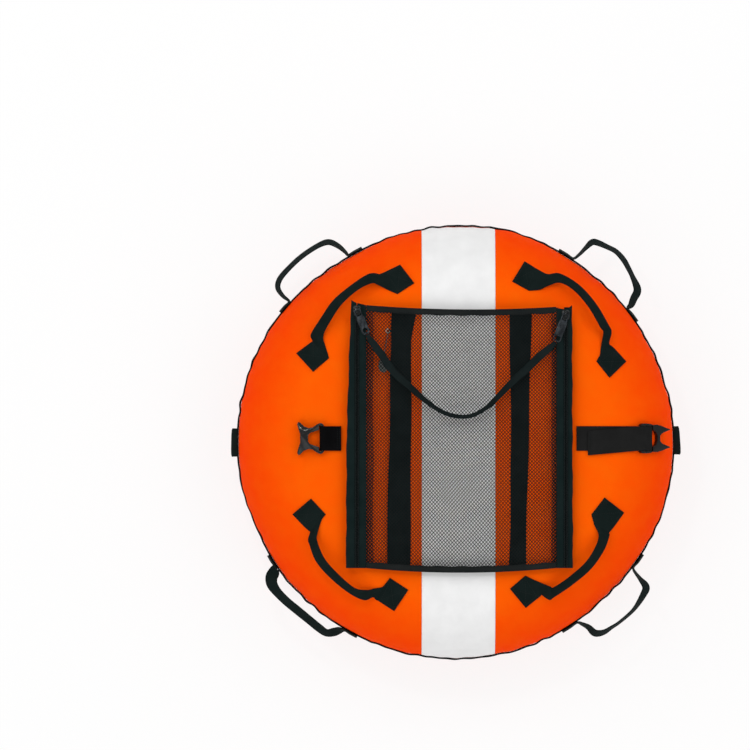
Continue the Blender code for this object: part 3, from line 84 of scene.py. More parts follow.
# Soft folds of the top: start, end, half width and height in metres
TOP_FOLDS = [
    ((0.222, 0.238), (0.272, 0.198), 0.010, -0.0035),
    ((0.205, 0.262), (0.160, 0.283), 0.009, -0.0030),
    ((0.240, 0.215), (0.180, 0.245), 0.012, 0.0020),
    ((-0.222, 0.238), (-0.262, 0.200), 0.010, -0.0035),
    ((-0.200, 0.258), (-0.150, 0.285), 0.009, -0.0030),
    ((-0.240, -0.185), (-0.270, -0.235), 0.011, -0.0032),
    ((-0.215, -0.215), (-0.160, -0.262), 0.010, -0.0035),
    ((0.250, -0.180), (0.262, -0.225), 0.010, -0.0032),
    ((0.225, -0.225), (0.170, -0.262), 0.010, -0.0035),
    ((0.295, -0.060), (0.345, -0.080), 0.014, -0.0022),
    ((0.300, 0.075), (0.350, 0.105), 0.014, -0.0020),
    ((-0.290, 0.070), (-0.345, 0.095), 0.014, -0.0020),
    ((-0.290, -0.070), (-0.350, -0.090), 0.014, -0.0022),
    ((-0.045, 0.262), (-0.030, 0.345), 0.011, -0.0024),
    ((0.020, 0.258), (0.012, 0.335), 0.009, 0.0018),
    ((0.055, 0.265), (0.045, 0.350), 0.010, -0.0022),
    ((-0.020, -0.262), (-0.028, -0.350), 0.011, -0.0020),
    ((0.035, -0.260), (0.050, -0.350), 0.010, -0.0022),
    ((0.085, 0.270), (0.110, 0.355), 0.013, -0.0024),
    ((-0.090, 0.275), (-0.125, 0.350), 0.013, -0.0020),
    ((0.090, -0.275), (0.120, -0.350), 0.013, -0.0022),
    ((-0.085, -0.280), (-0.110, -0.352), 0.013, -0.0022),
]

# Top handles: outer and inner edge of each strap seen from above, from one sewn end to the other. The
# first two and the last two rows bound the sewn ends.
TOP_HANDLES = {
    "upper_left": [
        (-0.293, 0.164, -0.262, 0.130), (-0.262, 0.187, -0.233, 0.155), (-0.265, 0.192, -0.239, 0.176),
        (-0.267, 0.201, -0.242, 0.197), (-0.248, 0.231, -0.228, 0.225), (-0.226, 0.262, -0.208, 0.254),
        (-0.195, 0.288, -0.180, 0.279), (-0.168, 0.307, -0.154, 0.291), (-0.154, 0.312, -0.142, 0.287),
        (-0.141, 0.309, -0.127, 0.280), (-0.132, 0.312, -0.108, 0.272), (-0.103, 0.326, -0.077, 0.292),
    ],
    "upper_right": [
        (0.125, 0.332, 0.102, 0.295), (0.146, 0.319, 0.133, 0.278), (0.159, 0.313, 0.152, 0.279),
        (0.169, 0.310, 0.168, 0.286), (0.190, 0.311, 0.190, 0.292), (0.225, 0.290, 0.215, 0.278),
        (0.255, 0.257, 0.241, 0.248), (0.278, 0.219, 0.262, 0.212), (0.285, 0.203, 0.268, 0.203),
        (0.280, 0.183, 0.264, 0.176), (0.285, 0.177, 0.262, 0.160), (0.290, 0.172, 0.256, 0.149),
        (0.311, 0.149, 0.280, 0.119),
    ],
    "lower_left": [
        (-0.300, -0.131, -0.266, -0.102), (-0.279, -0.153, -0.239, -0.131),
        (-0.268, -0.163, -0.245, -0.138), (-0.272, -0.179, -0.253, -0.164),
        (-0.270, -0.186, -0.254, -0.179), (-0.258, -0.217, -0.241, -0.210),
        (-0.231, -0.248, -0.219, -0.236), (-0.196, -0.276, -0.187, -0.264),
        (-0.169, -0.289, -0.164, -0.268), (-0.154, -0.283, -0.151, -0.266),
        (-0.148, -0.287, -0.133, -0.262), (-0.143, -0.289, -0.122, -0.247),
        (-0.114, -0.308, -0.088, -0.269),
    ],
    "lower_right": [
        (0.307, -0.128, 0.271, -0.100), (0.289, -0.153, 0.247, -0.131), (0.280, -0.165, 0.251, -0.148),
        (0.281, -0.171, 0.259, -0.169), (0.271, -0.197, 0.253, -0.190), (0.247, -0.231, 0.235, -0.218),
        (0.213, -0.260, 0.202, -0.247), (0.180, -0.283, 0.176, -0.264), (0.170, -0.289, 0.171, -0.261),
        (0.157, -0.278, 0.141, -0.250), (0.152, -0.282, 0.126, -0.243), (0.127, -0.302, 0.098, -0.267),
    ],
}
GRIP_RISE = 0.0260
GRIP_CURL = 0.12

# Rim handles: the angles of the two sewn feet, then points between them as an angle, the distance past the
# piping and how far the strap leans there. They run clockwise seen from above.
RIM_HANDLES = {
    "upper_left": (
        (143.5, 139.7), (120.0, 115.8),
        [
            (139.6, 0.0177, 14), (138.9, 0.0340, 20), (137.0, 0.0417, 22), (133.6, 0.0437, 20),
            (129.6, 0.0441, 20), (125.4, 0.0419, 20), (122.6, 0.0368, 24), (121.1, 0.0228, 20),
            (120.3, 0.0080, 12),
        ],
    ),
    "upper_right": (
        (61.9, 57.4), (38.1, 33.7),
        [
            (56.6, 0.0135, 10), (56.2, 0.0294, 15), (55.7, 0.0451, 25), (54.6, 0.0499, 25),
            (52.2, 0.0543, 20), (50.0, 0.0577, 20), (47.5, 0.0555, 22), (45.3, 0.0503, 20),
            (43.2, 0.0448, 20), (40.2, 0.0361, 34), (39.1, 0.0207, 32), (38.3, 0.0099, 26),
        ],
    ),
    "lower_left": (
        (243.0, 239.3), (214.6, 211.0),
        [
            (238.1, 0.0055, 30), (237.1, 0.0139, 38), (235.7, 0.0226, 32), (233.5, 0.0232, 36),
            (230.6, 0.0226, 36), (226.9, 0.0236, 38), (223.1, 0.0265, 38), (219.8, 0.0280, 42),
            (217.6, 0.0263, 56), (216.2, 0.0190, 64), (215.6, 0.0100, 62), (214.9, 0.0030, 36),
        ],
    ),
    "lower_right": (
        (-30.9, -35.5), (-56.0, -60.7),
        [
            (-36.6, 0.0206, 15), (-37.3, 0.0382, 32), (-39.0, 0.0433, 28), (-43.2, 0.0480, 15),
            (-47.6, 0.0463, 12), (-50.0, 0.0438, 14), (-52.1, 0.0416, 22), (-53.8, 0.0336, 30),
            (-54.2, 0.0195, 22), (-55.0, 0.0087, 14),
        ],
    ),
}
RIM_WEB_WIDTH = 0.0250
FOOT_LEAN = 7

# Pull cord: the route between the two pulls, and how the flat cord turns on its edge between them
CORD_WIDTH = 0.0145
CORD_THICKNESS = 0.0016
CORD_ROUTE = [
    (-0.1632, 0.1982, 0.2610), (-0.1565, 0.1880, 0.2607), (-0.1362, 0.1600, 0.2605),
    (-0.1141, 0.1290, 0.2605), (-0.0810, 0.0998, 0.2605), (-0.0534, 0.0755, 0.2605),
    (-0.0258, 0.0575, 0.2605), (0.0018, 0.0492, 0.2605), (0.0294, 0.0512, 0.2605), (0.0570, 0.0670, 0.2605),
    (0.0791, 0.0885, 0.2605), (0.1030, 0.1130, 0.2605), (0.1288, 0.1360, 0.2605), (0.1509, 0.1570, 0.2607),
    (0.1700, 0.1738, 0.2608), (0.1808, 0.1836, 0.2610),
]
CORD_TWIST = [(0.0, 8), (0.14, 12), (0.28, 38), (0.4, 62), (0.6, 64), (0.75, 34), (0.88, 10), (1.0, 6)]

# Mesh pocket and its zips
NET_LEFT = -0.1647
NET_RIGHT = 0.1827
NET_TOP = 0.2492
NET_BOTTOM = -0.2277
THREAD_SPACING = 0.0031
THREAD_ROW = 0.0033
THREAD_WIDTH = 0.00150
THREAD_HEIGHT = 0.0010
NET_TUCK = 0.0020
HEM_WIDTH = 0.0095
POCKET_TOP = 0.2505
POCKET_BOTTOM = -0.2290
TOP_DIP = 0.0062
TOP_TILT = 0.0015
BOTTOM_BOW = 0.0085
TAPE_THICKNESS = 0.0010
TAPE_GAP = 0.0011
TAPE_EDGES = {
    "left": [(-0.2290, -0.2022), (0.0175, -0.2009), (0.1757, -0.1958), (0.2620, -0.1923)],
    "right": [(-0.2290, 0.2130), (0.2520, 0.2115)],
}
TOOTH_PITCH = 0.0013
COIL_X = {"left": -0.182, "right": 0.200}
OUTWARD = {"left": -1, "right": 1}
ACCESS_COIL_X = -0.1105

# Left edge, right edge, lower end and upper end of the opening under the access zip
ACCESS_OPENING = (-0.1167, -0.1043, -0.2150, 0.2150)

# Storm flap and plain band under the mesh
BAND_TOP = 0.2400
BAND_BOTTOM = -0.2310

# Buckle
BUCKLE_Y = 0.0080
BUCKLE_HALF_WIDTH = 0.0225

# Stitches, and the corners of a thin thread's section
STITCH_LENGTH = 0.0030
STITCH_GAP = 0.0012
STITCH_RADIUS = 0.00040
DIAMOND = ((1, 0), (0, 1), (-1, 0), (0, -1))


# Camera, light and floor


def linked(name, data):
    obj = bpy.data.objects.new(name, data)
    bpy.context.scene.collection.objects.link(obj)
    return obj


def camera():
    data = bpy.data.cameras.new("camera")
    data.lens = LENS
    data.sensor_width = SENSOR
    distance = PHOTO_SIZE * METRES_PER_PIXEL * LENS / SENSOR
    data.clip_end = 2 * distance
    obj = linked("camera", data)
    obj.location = (
        (PHOTO_SIZE / 2 - DISC_CENTRE[0]) * METRES_PER_PIXEL,
        (DISC_CENTRE[1] - PHOTO_SIZE / 2) * METRES_PER_PIXEL,
        SEAM_HEIGHT + distance,
    )
    bpy.context.scene.camera = obj


def lamps():
    """Four broad lamps round the part, a small one that makes the highlights, and an even sky."""
    distance = 3.2
    lights = [(45 + 90 * k, 42, 2.2, 19.0) for k in range(4)] + [(118, 66, 0.30, 8.0)]
    for k, (azimuth, elevation, size, power) in enumerate(lights):
        turn, height = math.radians(azimuth), math.radians(elevation)
        data = bpy.data.lights.new(f"lamp_{k}", "AREA")
        data.size = size
        data.energy = power
        obj = linked(f"lamp_{k}", data)
        across = distance * math.cos(height)
        obj.location = (across * math.cos(turn), across * math.sin(turn), distance * math.sin(height))
        obj.rotation_euler = (-obj.location).to_track_quat("-Z", "Y").to_euler()
    world = bpy.data.worlds.new("world")
    bpy.context.scene.world = world
    world.use_nodes = True
    background = world.node_tree.nodes["Background"]
    background.inputs["Color"].default_value = (1, 1, 1, 1)
    background.inputs["Strength"].default_value = 0.5


def floor():
    """Pale paper, drawn nearly white where the camera or a reflection sees it, with its shadow kept."""
    mesh = bpy.data.meshes.new("floor")
    reach, low = 6.0, -0.0003
    corners = [(-reach, -reach, low), (reach, -reach, low), (reach, reach, low), (-reach, reach, low)]
    mesh.from_pydata(corners, [], [(0, 1, 2, 3)])
    obj = linked("floor", mesh)
    made = bpy.data.materials.new("floor_paper")
    made.use_nodes = True
    shader = made.node_tree.nodes["Principled BSDF"]
    shader.inputs["Base Color"].default_value = (0.97, 0.97, 0.97, 1)
    shader.inputs["Roughness"].default_value = 0.95
    shader.inputs["Specular IOR Level"].default_value = 0.1
    tree = made.node_tree
    path = tree.nodes.new("ShaderNodeLightPath")
    seen = path.outputs["Is Camera Ray"]
    for other in ("Is Glossy Ray", "Is Transmission Ray"):
        either = tree.nodes.new("ShaderNodeMath")
        either.operation = "MAXIMUM"
        tree.links.new(seen, either.inputs[0])
        tree.links.new(path.outputs[other], either.inputs[1])
        seen = either.outputs["Value"]
    share = tree.nodes.new("ShaderNodeMath")
    share.operation = "MULTIPLY"
    tree.links.new(seen, share.inputs[0])
    share.inputs[1].default_value = FLOOR_WHITE
    white = tree.nodes.new("ShaderNodeEmission")
    white.inputs["Color"].default_value = (1, 1, 1, 1)
    white.inputs["Strength"].default_value = 1.0
    mix = tree.nodes.new("ShaderNodeMixShader")
    tree.links.new(share.outputs["Value"], mix.inputs["Fac"])
    tree.links.new(shader.outputs["BSDF"], mix.inputs[1])
    tree.links.new(white.outputs["Emission"], mix.inputs[2])
    tree.links.new(mix.outputs["Shader"], tree.nodes["Material Output"].inputs["Surface"])
    mesh.materials.append(made)


# Materials


def surface(name, colours, roughness, reliefs=(), blotch=30.0, metallic=0.0, specular=0.5, coords="Object",
            rim=None):
    """A procedural finish: two colours mixed by soft noise, uneven roughness and a stack of reliefs.

    A relief is (kind, scale, height in metres, direction or None, distortion). rim mixes in two more colours
    past a radius, as (colours, start, end): a painted shade that makes a cloth darker and redder towards its
    rim.
    """
    made = bpy.data.materials.new(name)
    made.use_nodes = True
    tree = made.node_tree
    shader = tree.nodes["Principled BSDF"]
    shader.inputs["Metallic"].default_value = metallic
    shader.inputs["Specular IOR Level"].default_value = specular
    place = tree.nodes.new("ShaderNodeTexCoord")

    def feed(socket, value):
        if isinstance(value, bpy.types.NodeSocket):
            tree.links.new(value, socket)
        else:
            socket.default_value = value

    def node(kind, **inputs):
        made_node = tree.nodes.new(kind)
        for key, value in inputs.items():
            feed(made_node.inputs[key.replace("_", " ")], value)
        return made_node

    def noise(scale, detail):
        texture = node("ShaderNodeTexNoise", Vector=place.outputs["Object"], Scale=scale, Detail=detail)
        return texture.outputs["Fac"]

    def mixed(factor, first, second):
        mix = tree.nodes.new("ShaderNodeMix")
        mix.data_type = "RGBA"
        feed(mix.inputs["Factor"], factor)
        for key, value in (("A", first), ("B", second)):
            feed(mix.inputs[key], (*value, 1) if isinstance(value, tuple) else value)
        return mix.outputs["Result"]

    def ranged(value, low, high, to_low, to_high):
        made_node = node(
            "ShaderNodeMapRange", Value=value, From_Min=low, From_Max=high, To_Min=to_low, To_Max=to_high
        )
        return made_node.outputs["Result"]

    blotches = ranged(noise(blotch, 3.0), 0.35, 0.65, 0.0, 1.0)
    colour = mixed(blotches, *colours)
    # Painted shade: past a radius the colour turns to the darker, redder rim colours, as a steep rim that
    # gets less light would look.
    if rim:
        split = node("ShaderNodeSeparateXYZ", Vector=place.outputs["Object"])
        flat = node("ShaderNodeCombineXYZ", X=split.outputs["X"], Y=split.outputs["Y"])
        length = tree.nodes.new("ShaderNodeVectorMath")
        length.operation = "LENGTH"
        feed(length.inputs[0], flat.outputs["Vector"])
        rim_shade_colours, start, end = rim
        edge = mixed(blotches, *rim_shade_colours)
        colour = mixed(ranged(length.outputs["Value"], start, end, 0.0, 1.0), colour, edge)
    feed(shader.inputs["Base Color"], colour)
    feed(shader.inputs["Roughness"], ranged(noise(blotch * 3, 2.0), 0.3, 0.7, *roughness))

    height = 0.0
    for kind, scale, depth, direction, distortion in reliefs:
        if kind == "wave":
            texture = node(
                "ShaderNodeTexWave", Vector=place.outputs[coords], Scale=scale, Distortion=distortion,
                Detail=1.0, Detail_Scale=2.0,
            )
            texture.bands_direction = direction
            level = texture.outputs["Fac"]
        else:
            level = noise(scale, 4.0)
        scaled = tree.nodes.new("ShaderNodeMath")
        scaled.operation = "MULTIPLY_ADD"
        for socket, value in zip(scaled.inputs, (level, depth, height)):
            feed(socket, value)
        height = scaled.outputs["Value"]
    if reliefs:
        bump = node("ShaderNodeBump", Height=height, Strength=1.0, Distance=1.0)
        feed(shader.inputs["Normal"], bump.outputs["Normal"])
    return made


def wave(period, depth, direction, distortion=0.0):
    """A relief of ridges with this period in metres."""
    return ("wave", 2 * math.pi / (20 * period), depth, direction, distortion)


def grain(size, depth):
    return ("noise", 1 / size, depth, None, 0.0)


CANVAS = [wave(0.0011, 0.00006, "X", 0.4), wave(0.0011, 0.00006, "Y", 0.4), grain(0.020, 0.0006)]
RIBS = [wave(0.0016, 0.00022, "Y", 0.5), wave(0.0011, 0.00007, "X", 0.3), grain(0.004, 0.0001)]
FINE_RIBS = [wave(0.0010, 0.00010, "Y", 0.5), wave(0.0014, 0.00005, "X", 0.3), grain(0.003, 0.00005)]
# Each look: its slot, its name, two colours, the range of its roughness, its reliefs and what else it needs
FINISHES = {
    # The orange cloth's rim colours are painted shade: from 0.290 m to 0.392 m out it turns redder and a
    # little darker, as its steep rim looks where it gets less light.
    "orange": (
        "orange_cloth", "orange_canvas_rim_shaded", (1.0, 0.105, 0.0006), (0.985, 0.116, 0.0010), (0.60, 0.75), CANVAS,
        {"specular": 0.01, "rim": (((1.0, 0.056, 0.0004), (1.0, 0.068, 0.0008)), 0.290, 0.392)},
    ),
    "white": (
        "white_cloth", "white_canvas", (0.90, 0.90, 0.90), (0.86, 0.86, 0.86), (0.60, 0.75), CANVAS,
        {"specular": 0.06},
    ),
    "film": (
        "bladder_film", "clear_grey_film", (0.72, 0.73, 0.71), (0.66, 0.68, 0.66), (0.28, 0.40),
        [grain(0.03, 0.0008)], {},
    ),
    "thread": (
        "black_trim", "net_thread", (0.0070, 0.0085, 0.0085), (0.0100, 0.0120, 0.0120), (0.6, 0.75), (),
        {"specular": 0.08},
    ),
    "tape": (
        "black_trim", "zip_tape", (0.0044, 0.0115, 0.0115), (0.0070, 0.0150, 0.0148), (0.75, 0.9),
        FINE_RIBS, {"specular": 0.06},
    ),
    "binding": (
        "black_trim", "binding_tape", (0.0095, 0.0118, 0.0118), (0.0135, 0.0155, 0.0152), (0.75, 0.9),
        FINE_RIBS, {"specular": 0.08},
    ),
    "band": (
        "black_trim", "flat_band", (0.0044, 0.0105, 0.0110), (0.0070, 0.0140, 0.0145), (0.75, 0.9),
        FINE_RIBS, {"specular": 0.05},
    ),
    "webbing": (
        "black_webbing", "ribbed_webbing", (0.0044, 0.0098, 0.0092), (0.0068, 0.0128, 0.0120), (0.70, 0.85),
        RIBS, {"specular": 0.06},
    ),
    "strap": (
        "black_webbing", "plain_webbing", (0.0105, 0.0105, 0.0105), (0.0135, 0.0135, 0.0135), (0.66, 0.82),
        RIBS, {"specular": 0.06},
    ),
    "tab": (
        "black_webbing", "black_tab_webbing", (0.0022, 0.0021, 0.0025), (0.0036, 0.0034, 0.0038),
        (0.70, 0.85), RIBS, {"specular": 0.03},
    ),
    "cord": (
        "black_webbing", "flat_cord", (0.0045, 0.0090, 0.0092), (0.0068, 0.0120, 0.0122), (0.60, 0.78),
        FINE_RIBS, {"specular": 0.08},
    ),
    "piping": (
        "black_trim", "piping_cover", (0.0050, 0.0055, 0.0052), (0.0080, 0.0086, 0.0084), (0.6, 0.8),
        [grain(0.002, 0.00008)], {"specular": 0.1},
    ),
    "plastic": (
        "black_plastic", "moulded_plastic", (0.0040, 0.0042, 0.0045), (0.0060, 0.0062, 0.0066), (0.14, 0.24),
        [grain(0.0020, 0.00001)], {"blotch": 60.0, "specular": 0.35},
    ),
    "coil": (
        "black_plastic", "nylon_coil", (0.0060, 0.0095, 0.0100), (0.0110, 0.0160, 0.0165), (0.35, 0.50), (),
        {"blotch": 200.0, "specular": 0.25},
    ),
    "slider": (
        "slider_metal", "black_enamel", (0.0030, 0.0042, 0.0042), (0.0060, 0.0078, 0.0078), (0.10, 0.18), (),
        {"blotch": 150.0, "specular": 0.30},
    ),
    "metal": (
        "slider_metal", "dark_zinc", (0.024, 0.028, 0.032), (0.046, 0.052, 0.058), (0.24, 0.40),
        [grain(0.0015, 0.00002)], {"blotch": 120.0, "metallic": 1.0},
    ),
    "steel": (
        "ring_steel", "polished_steel", (0.60, 0.60, 0.60), (0.68, 0.68, 0.67), (0.12, 0.24),
        [grain(0.004, 0.00001)], {"blotch": 80.0, "metallic": 1.0},
    ),
    "brass": (
        "slider_metal", "pale_ring", (0.74, 0.70, 0.52), (0.84, 0.82, 0.70), (0.35, 0.50), (),
        {"blotch": 150.0, "metallic": 0.4},
    ),
    "rubber": (
        "grey_rubber", "grey_rubber", (0.135, 0.145, 0.135), (0.160, 0.170, 0.160), (0.55, 0.70),
        [grain(0.002, 0.00004)], {"blotch": 90.0, "specular": 0.2},
    ),
    "black_thread": (
        "black_webbing", "black_thread", (0.0080, 0.0110, 0.0110), (0.0120, 0.0155, 0.0150), (0.5, 0.65), (),
        {"blotch": 300.0, "specular": 0.12},
    ),
}
LOOKS, SLOTS = {}, {}
for look, (slot, name, first, second, roughness, reliefs, rest) in FINISHES.items():
    coords = "UV" if reliefs in (RIBS, FINE_RIBS) else "Object"
    LOOKS[look] = surface(name, (first, second), roughness, reliefs, coords=coords, **rest)
    SLOTS[look] = slot


# Mesh tools


def add_piece(obj, look, body="buoy", nodes=()):
    if not obj.data.materials:
        obj.data.materials.append(LOOKS[look])
    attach(obj, body)
    if nodes:
        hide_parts(*nodes)
    return obj


def mesh_object(name, points, faces, smooth_angle=40.0, uvs=None):
    mesh = bpy.data.meshes.new(name)
    mesh.from_pydata([tuple(p) for p in points], [], faces)
    if uvs is not None:
        layer = mesh.uv_layers.new(name="UVMap")
        at = np.empty(len(mesh.loops), np.int32)
        mesh.loops.foreach_get("vertex_index", at)
        layer.data.foreach_set("uv", np.asarray(uvs, np.float32)[at].ravel())
    edit = bmesh.new()
    edit.from_mesh(mesh)
    bmesh.ops.recalc_face_normals(edit, faces=edit.faces)
    edit.to_mesh(mesh)
    edit.free()
    mesh.shade_smooth()
    mesh.set_sharp_from_angle(angle=math.radians(smooth_angle))
    return linked(name, mesh)


def spline(points, steps):
    """A smooth curve through every point, with this many steps between two of them."""
    knots = np.asarray(points, float)
    knots = np.vstack([2 * knots[:1] - knots[1:2], knots, 2 * knots[-1:] - knots[-2:-1]])
    fine = []
    for a, b, c, d in zip(knots, knots[1:], knots[2:], knots[3:]):
        for step in range(steps):
            t = step / steps
            fine.append(
                b
                + (c - a) * (t / 2)
                + (2 * a - 5 * b + 4 * c - d) * (t * t / 2)
                + (3 * b - a - 3 * c + d) * (t * t * t / 2)
            )
    fine.append(knots[-2])
    return np.array(fine)


def smoothstep(value):
    value = np.clip(value, 0.0, 1.0)
    return value * value * (3 - 2 * value)


def unit(vectors):
    return vectors / np.maximum(np.linalg.norm(vectors, axis=-1, keepdims=True), 1e-12)


def summed(steps):
    return np.concatenate([[0.0], np.cumsum(steps)])


def travelled(path):
    """The distance along a path at each of its points."""
    return summed(np.linalg.norm(np.diff(path, axis=0), axis=1))


def ring_faces(start, rings, sides, closed=False):
    """The faces between rings of points that follow one another from a first point on."""
    faces = []
    for ring in range(rings if closed else rings - 1):
        here, there = start + ring * sides, start + (ring + 1) % rings * sides
        for k in range(sides):
            after = (k + 1) % sides
            faces.append((here + k, here + after, there + after, there + k))
    return faces


def bake(obj, smooth_angle):
    """Turns an object's modifiers into its mesh."""
    graph = bpy.context.evaluated_depsgraph_get()
    baked = bpy.data.meshes.new_from_object(obj.evaluated_get(graph))
    obj.modifiers.clear()
    obj.data = baked
    baked.shade_smooth()
    baked.set_sharp_from_angle(angle=math.radians(smooth_angle))


def ribbon(node, ending, rows, thickness, look, body="buoy", along=1, smooth_angle=40.0):
    """A strap over rows of points, with rounded edges, in place of a node and named after it.

    It thickens to the side of along x across.
    """
    grid = np.asarray(rows, float)
    if along > 1:
        count, width = grid.shape[:2]
        grid = spline(grid.reshape(count, -1), along).reshape(-1, width, 3)
    count, width = grid.shape[:2]
    forward = unit(np.gradient(grid, axis=0))
    across = unit(np.gradient(grid, axis=1))
    normal = unit(np.cross(forward, across))
    soft = abs(thickness) * 0.35
    lower, upper = grid.copy(), grid + normal * thickness
    middle = (lower + upper) / 2
    for layer in (lower, upper):
        layer[:, 0] += across[:, 0] * soft
        layer[:, -1] -= across[:, -1] * soft
    ring = np.concatenate([middle[:, :1], lower, middle[:, -1:], upper[:, ::-1]], axis=1)
    v = summed(np.linalg.norm(np.diff(grid, axis=0), axis=2).mean(axis=1))
    u = summed(np.linalg.norm(np.diff(grid, axis=1), axis=2).mean(axis=0))
    ring_u = np.concatenate([[u[0]], u, [u[-1]], u[::-1]])
    size = ring.shape[1]
    uvs = np.stack(np.broadcast_arrays(ring_u[None, :], v[:, None]), axis=2).reshape(-1, 2)
    faces = ring_faces(0, count, size)
    for start in (0, (count - 1) * size):
        faces.append((start, start + 1, start + size - 1))
        for j in range(1, width):
            faces.append((start + j, start + j + 1, start + size - 1 - j, start + size - j))
        faces.append((start + width, start + width + 1, start + width + 2))
    obj = mesh_object(f"{node}_{ending}", ring.reshape(-1, 3), faces, smooth_angle, uvs)
    return add_piece(obj, look, body, (node,))


def stitches(name, paths):
    """Short threads laid end to end along paths."""
    points, faces = [], []
    shape = [(0.0, 0.15), (0.25, 1.0), (0.75, 1.0), (1.0, 0.15)]
    for path in paths:
        path = np.asarray(path, float)
        reach = travelled(path)
        at = STITCH_GAP / 2
        while at + STITCH_LENGTH < reach[-1]:
            ends = (at, at + STITCH_LENGTH)
            first, last = (np.array([np.interp(s, reach, path[:, i]) for i in range(3)]) for s in ends)
            forward = unit(last - first)
            side = unit(np.cross(forward, UP) + 1e-9)
            up = np.cross(side, forward)
            base = len(points)
            for share, size in shape:
                centre = first + (last - first) * share
                points += [centre + (side * a + up * b) * STITCH_RADIUS * size for a, b in DIAMOND]
            faces += ring_faces(base, len(shape), 4)
            faces += [tuple(range(base, base + 4)), tuple(range(base + 12, base + 16))]
            at += STITCH_LENGTH + STITCH_GAP
    add_piece(mesh_object(name, points, faces, 60.0), "black_thread")


NODE_BODIES = {
    "left_slider": ("zip_slider_left", "zip_pull_left"),
    "right_slider": ("zip_slider_right", "zip_pull_right"),
    "access_slider": ("access_zip_slider", "access_pull_ring", "access_zip_pull"),
    "line_ring": ("line_ring",),
}


def body_name(node):
    for name, nodes in NODE_BODIES.items():
        if node in nodes:
            return name
    return "buoy"


def finished(node, look, bevel, segments=2):
    """A CAD node's own shape with rounded edges."""
    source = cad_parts[node]
    mesh = source.data.copy()
    mesh.transform(source.matrix_world)
    mesh.materials.clear()
    edit = bmesh.new()
    edit.from_mesh(mesh)
    bmesh.ops.remove_doubles(edit, verts=edit.verts, dist=0.00001)
    bmesh.ops.dissolve_limit(edit, angle_limit=math.radians(1), verts=edit.verts, edges=edit.edges)
    bmesh.ops.recalc_face_normals(edit, faces=edit.faces)
    edit.to_mesh(mesh)
    edit.free()
    obj = linked(node + "_finished", mesh)
    soft = obj.modifiers.new("bevel", "BEVEL")
    soft.width = bevel
    soft.segments = segments
    soft.limit_method = "ANGLE"
    soft.angle_limit = math.radians(28)
    soft.harden_normals = True
    bake(obj, 45)
    add_piece(obj, look, body_name(node), (node,))


# Cover and bladder


def ripple(theta, lowest, highest, count, seed):
    """Irregular waves round the rim, about 1 high."""
    draw = random.Random(seed)
    total = np.zeros_like(theta)
    for _ in range(count):
        waves = draw.randint(lowest, highest)
        phase = draw.uniform(0, 2 * math.pi)
        total = total + draw.uniform(0.5, 1.0) * np.sin(waves * theta + phase)
    return total / math.sqrt(count)


def outline_shift(theta):
    """The slow part of the rim's outline."""
    degrees = np.arange(-360, 720)
    knots = [(a + turn, shift) for turn in (-360, 0, 360) for a, shift in RIM_OUTLINE]
    slow = np.interp(degrees, [a for a, _ in knots], [shift for _, shift in knots])
    window = np.hanning(15)
    slow = np.convolve(slow, window / window.sum(), mode="same")
    return np.interp(np.degrees(theta) % 360, degrees, slow)


SEWN_ANGLES = [180.0, 0.0]
for first, last, _ in RIM_HANDLES.values():
    SEWN_ANGLES += [sum(first) / 2, sum(last) / 2]
SEWN_REACH = [5.0, 5.0] + [3.6] * 8


def free_share(theta):
    """1 where the rim is free, 0 where a loop or a handle's foot is sewn to it."""
    share = np.ones_like(theta)
    for angle, reach in zip(SEWN_ANGLES, SEWN_REACH):
        away = np.abs((np.degrees(theta) - angle + 180) % 360 - 180)
        share = share * smoothstep((away - reach) / 3.0)
    return share


def rim_edge(theta):
    """How far the seam stands out at an angle, with its puckers."""
    puckers = 0.0008 * ripple(theta, 14, 34, 7, 3) + 0.0009 * ripple(theta, 50, 95, 8, 5)
    return SEAM_REACH + outline_shift(theta) + puckers * free_share(theta)


def seam_shift(theta, steepness):
    """How far the cloth moves out with the seam, and how much of the creases beside the seam it has."""
    shift = rim_edge(theta) * smoothstep((steepness - 0.15) / 0.85)
    near = smoothstep((steepness - 0.30) / 0.5) * smoothstep((1.0 - steepness) / 0.15)
    return shift, near


SEWN_PLACES = []
for edges in TOP_HANDLES.values():
    for end in (edges[:2], edges[-2:]):
        SEWN_PLACES.append(np.array(end).reshape(-1, 2).mean(axis=0))


def top_relief(x, y, steepness):
    """Height of the cover's creases over its plain form. steepness is 0 on the flat top, 1 at the seam."""
    theta = np.arctan2(y, x)
    free = free_share(theta)
    shift, near = seam_shift(theta, steepness)
    creases = 0.0012 * ripple(theta, 20, 44, 7, 11) + 0.0006 * ripple(theta, 60, 110, 8, 12)
    shift = shift + near * free * creases
    soft = 0.0010 * ripple(theta, 5, 12, 5, 21) * smoothstep(steepness / 0.4) * (1 - 0.6 * near)
    folds = np.zeros_like(x)
    for (x0, y0), (x1, y1), width, depth in TOP_FOLDS:
        dx, dy = x1 - x0, y1 - y0
        share = np.clip(((x - x0) * dx + (y - y0) * dy) / (dx * dx + dy * dy), 0, 1)
        away = np.hypot(x - x0 - share * dx, y - y0 - share * dy)
        folds = folds + depth * np.exp(-((away / width) ** 2)) * np.sin(math.pi * (0.12 + 0.76 * share))
    sewn = np.ones_like(x)
    for cx, cy in SEWN_PLACES:
        sewn = sewn * smoothstep((np.hypot(x - cx, y - cy) - 0.024) / 0.018)
    strap = smoothstep((np.abs(y - 0.008) - 0.024) / 0.010)
    strap = np.maximum(strap, smoothstep((0.205 - x) / 0.01))
    return shift + (soft + folds) * sewn * strap


def ellipse_height(reach):
    share = np.clip(reach / (COVER_RADIUS - FLAT_RADIUS), 0.0, 1.0)
    return SEAM_HEIGHT * np.sqrt(1 - share * share)


def top_height(x, y):
    return SEAM_HEIGHT + ellipse_height(np.hypot(x, y) - FLAT_RADIUS)


def dish_height(radius):
    share = np.clip((REST_INNER_RADIUS - radius) / (REST_INNER_RADIUS - DISH_RADIUS), 0.0, 1.0)
    return DISH_DEPTH * (1 - np.cos(math.pi * share)) / 2


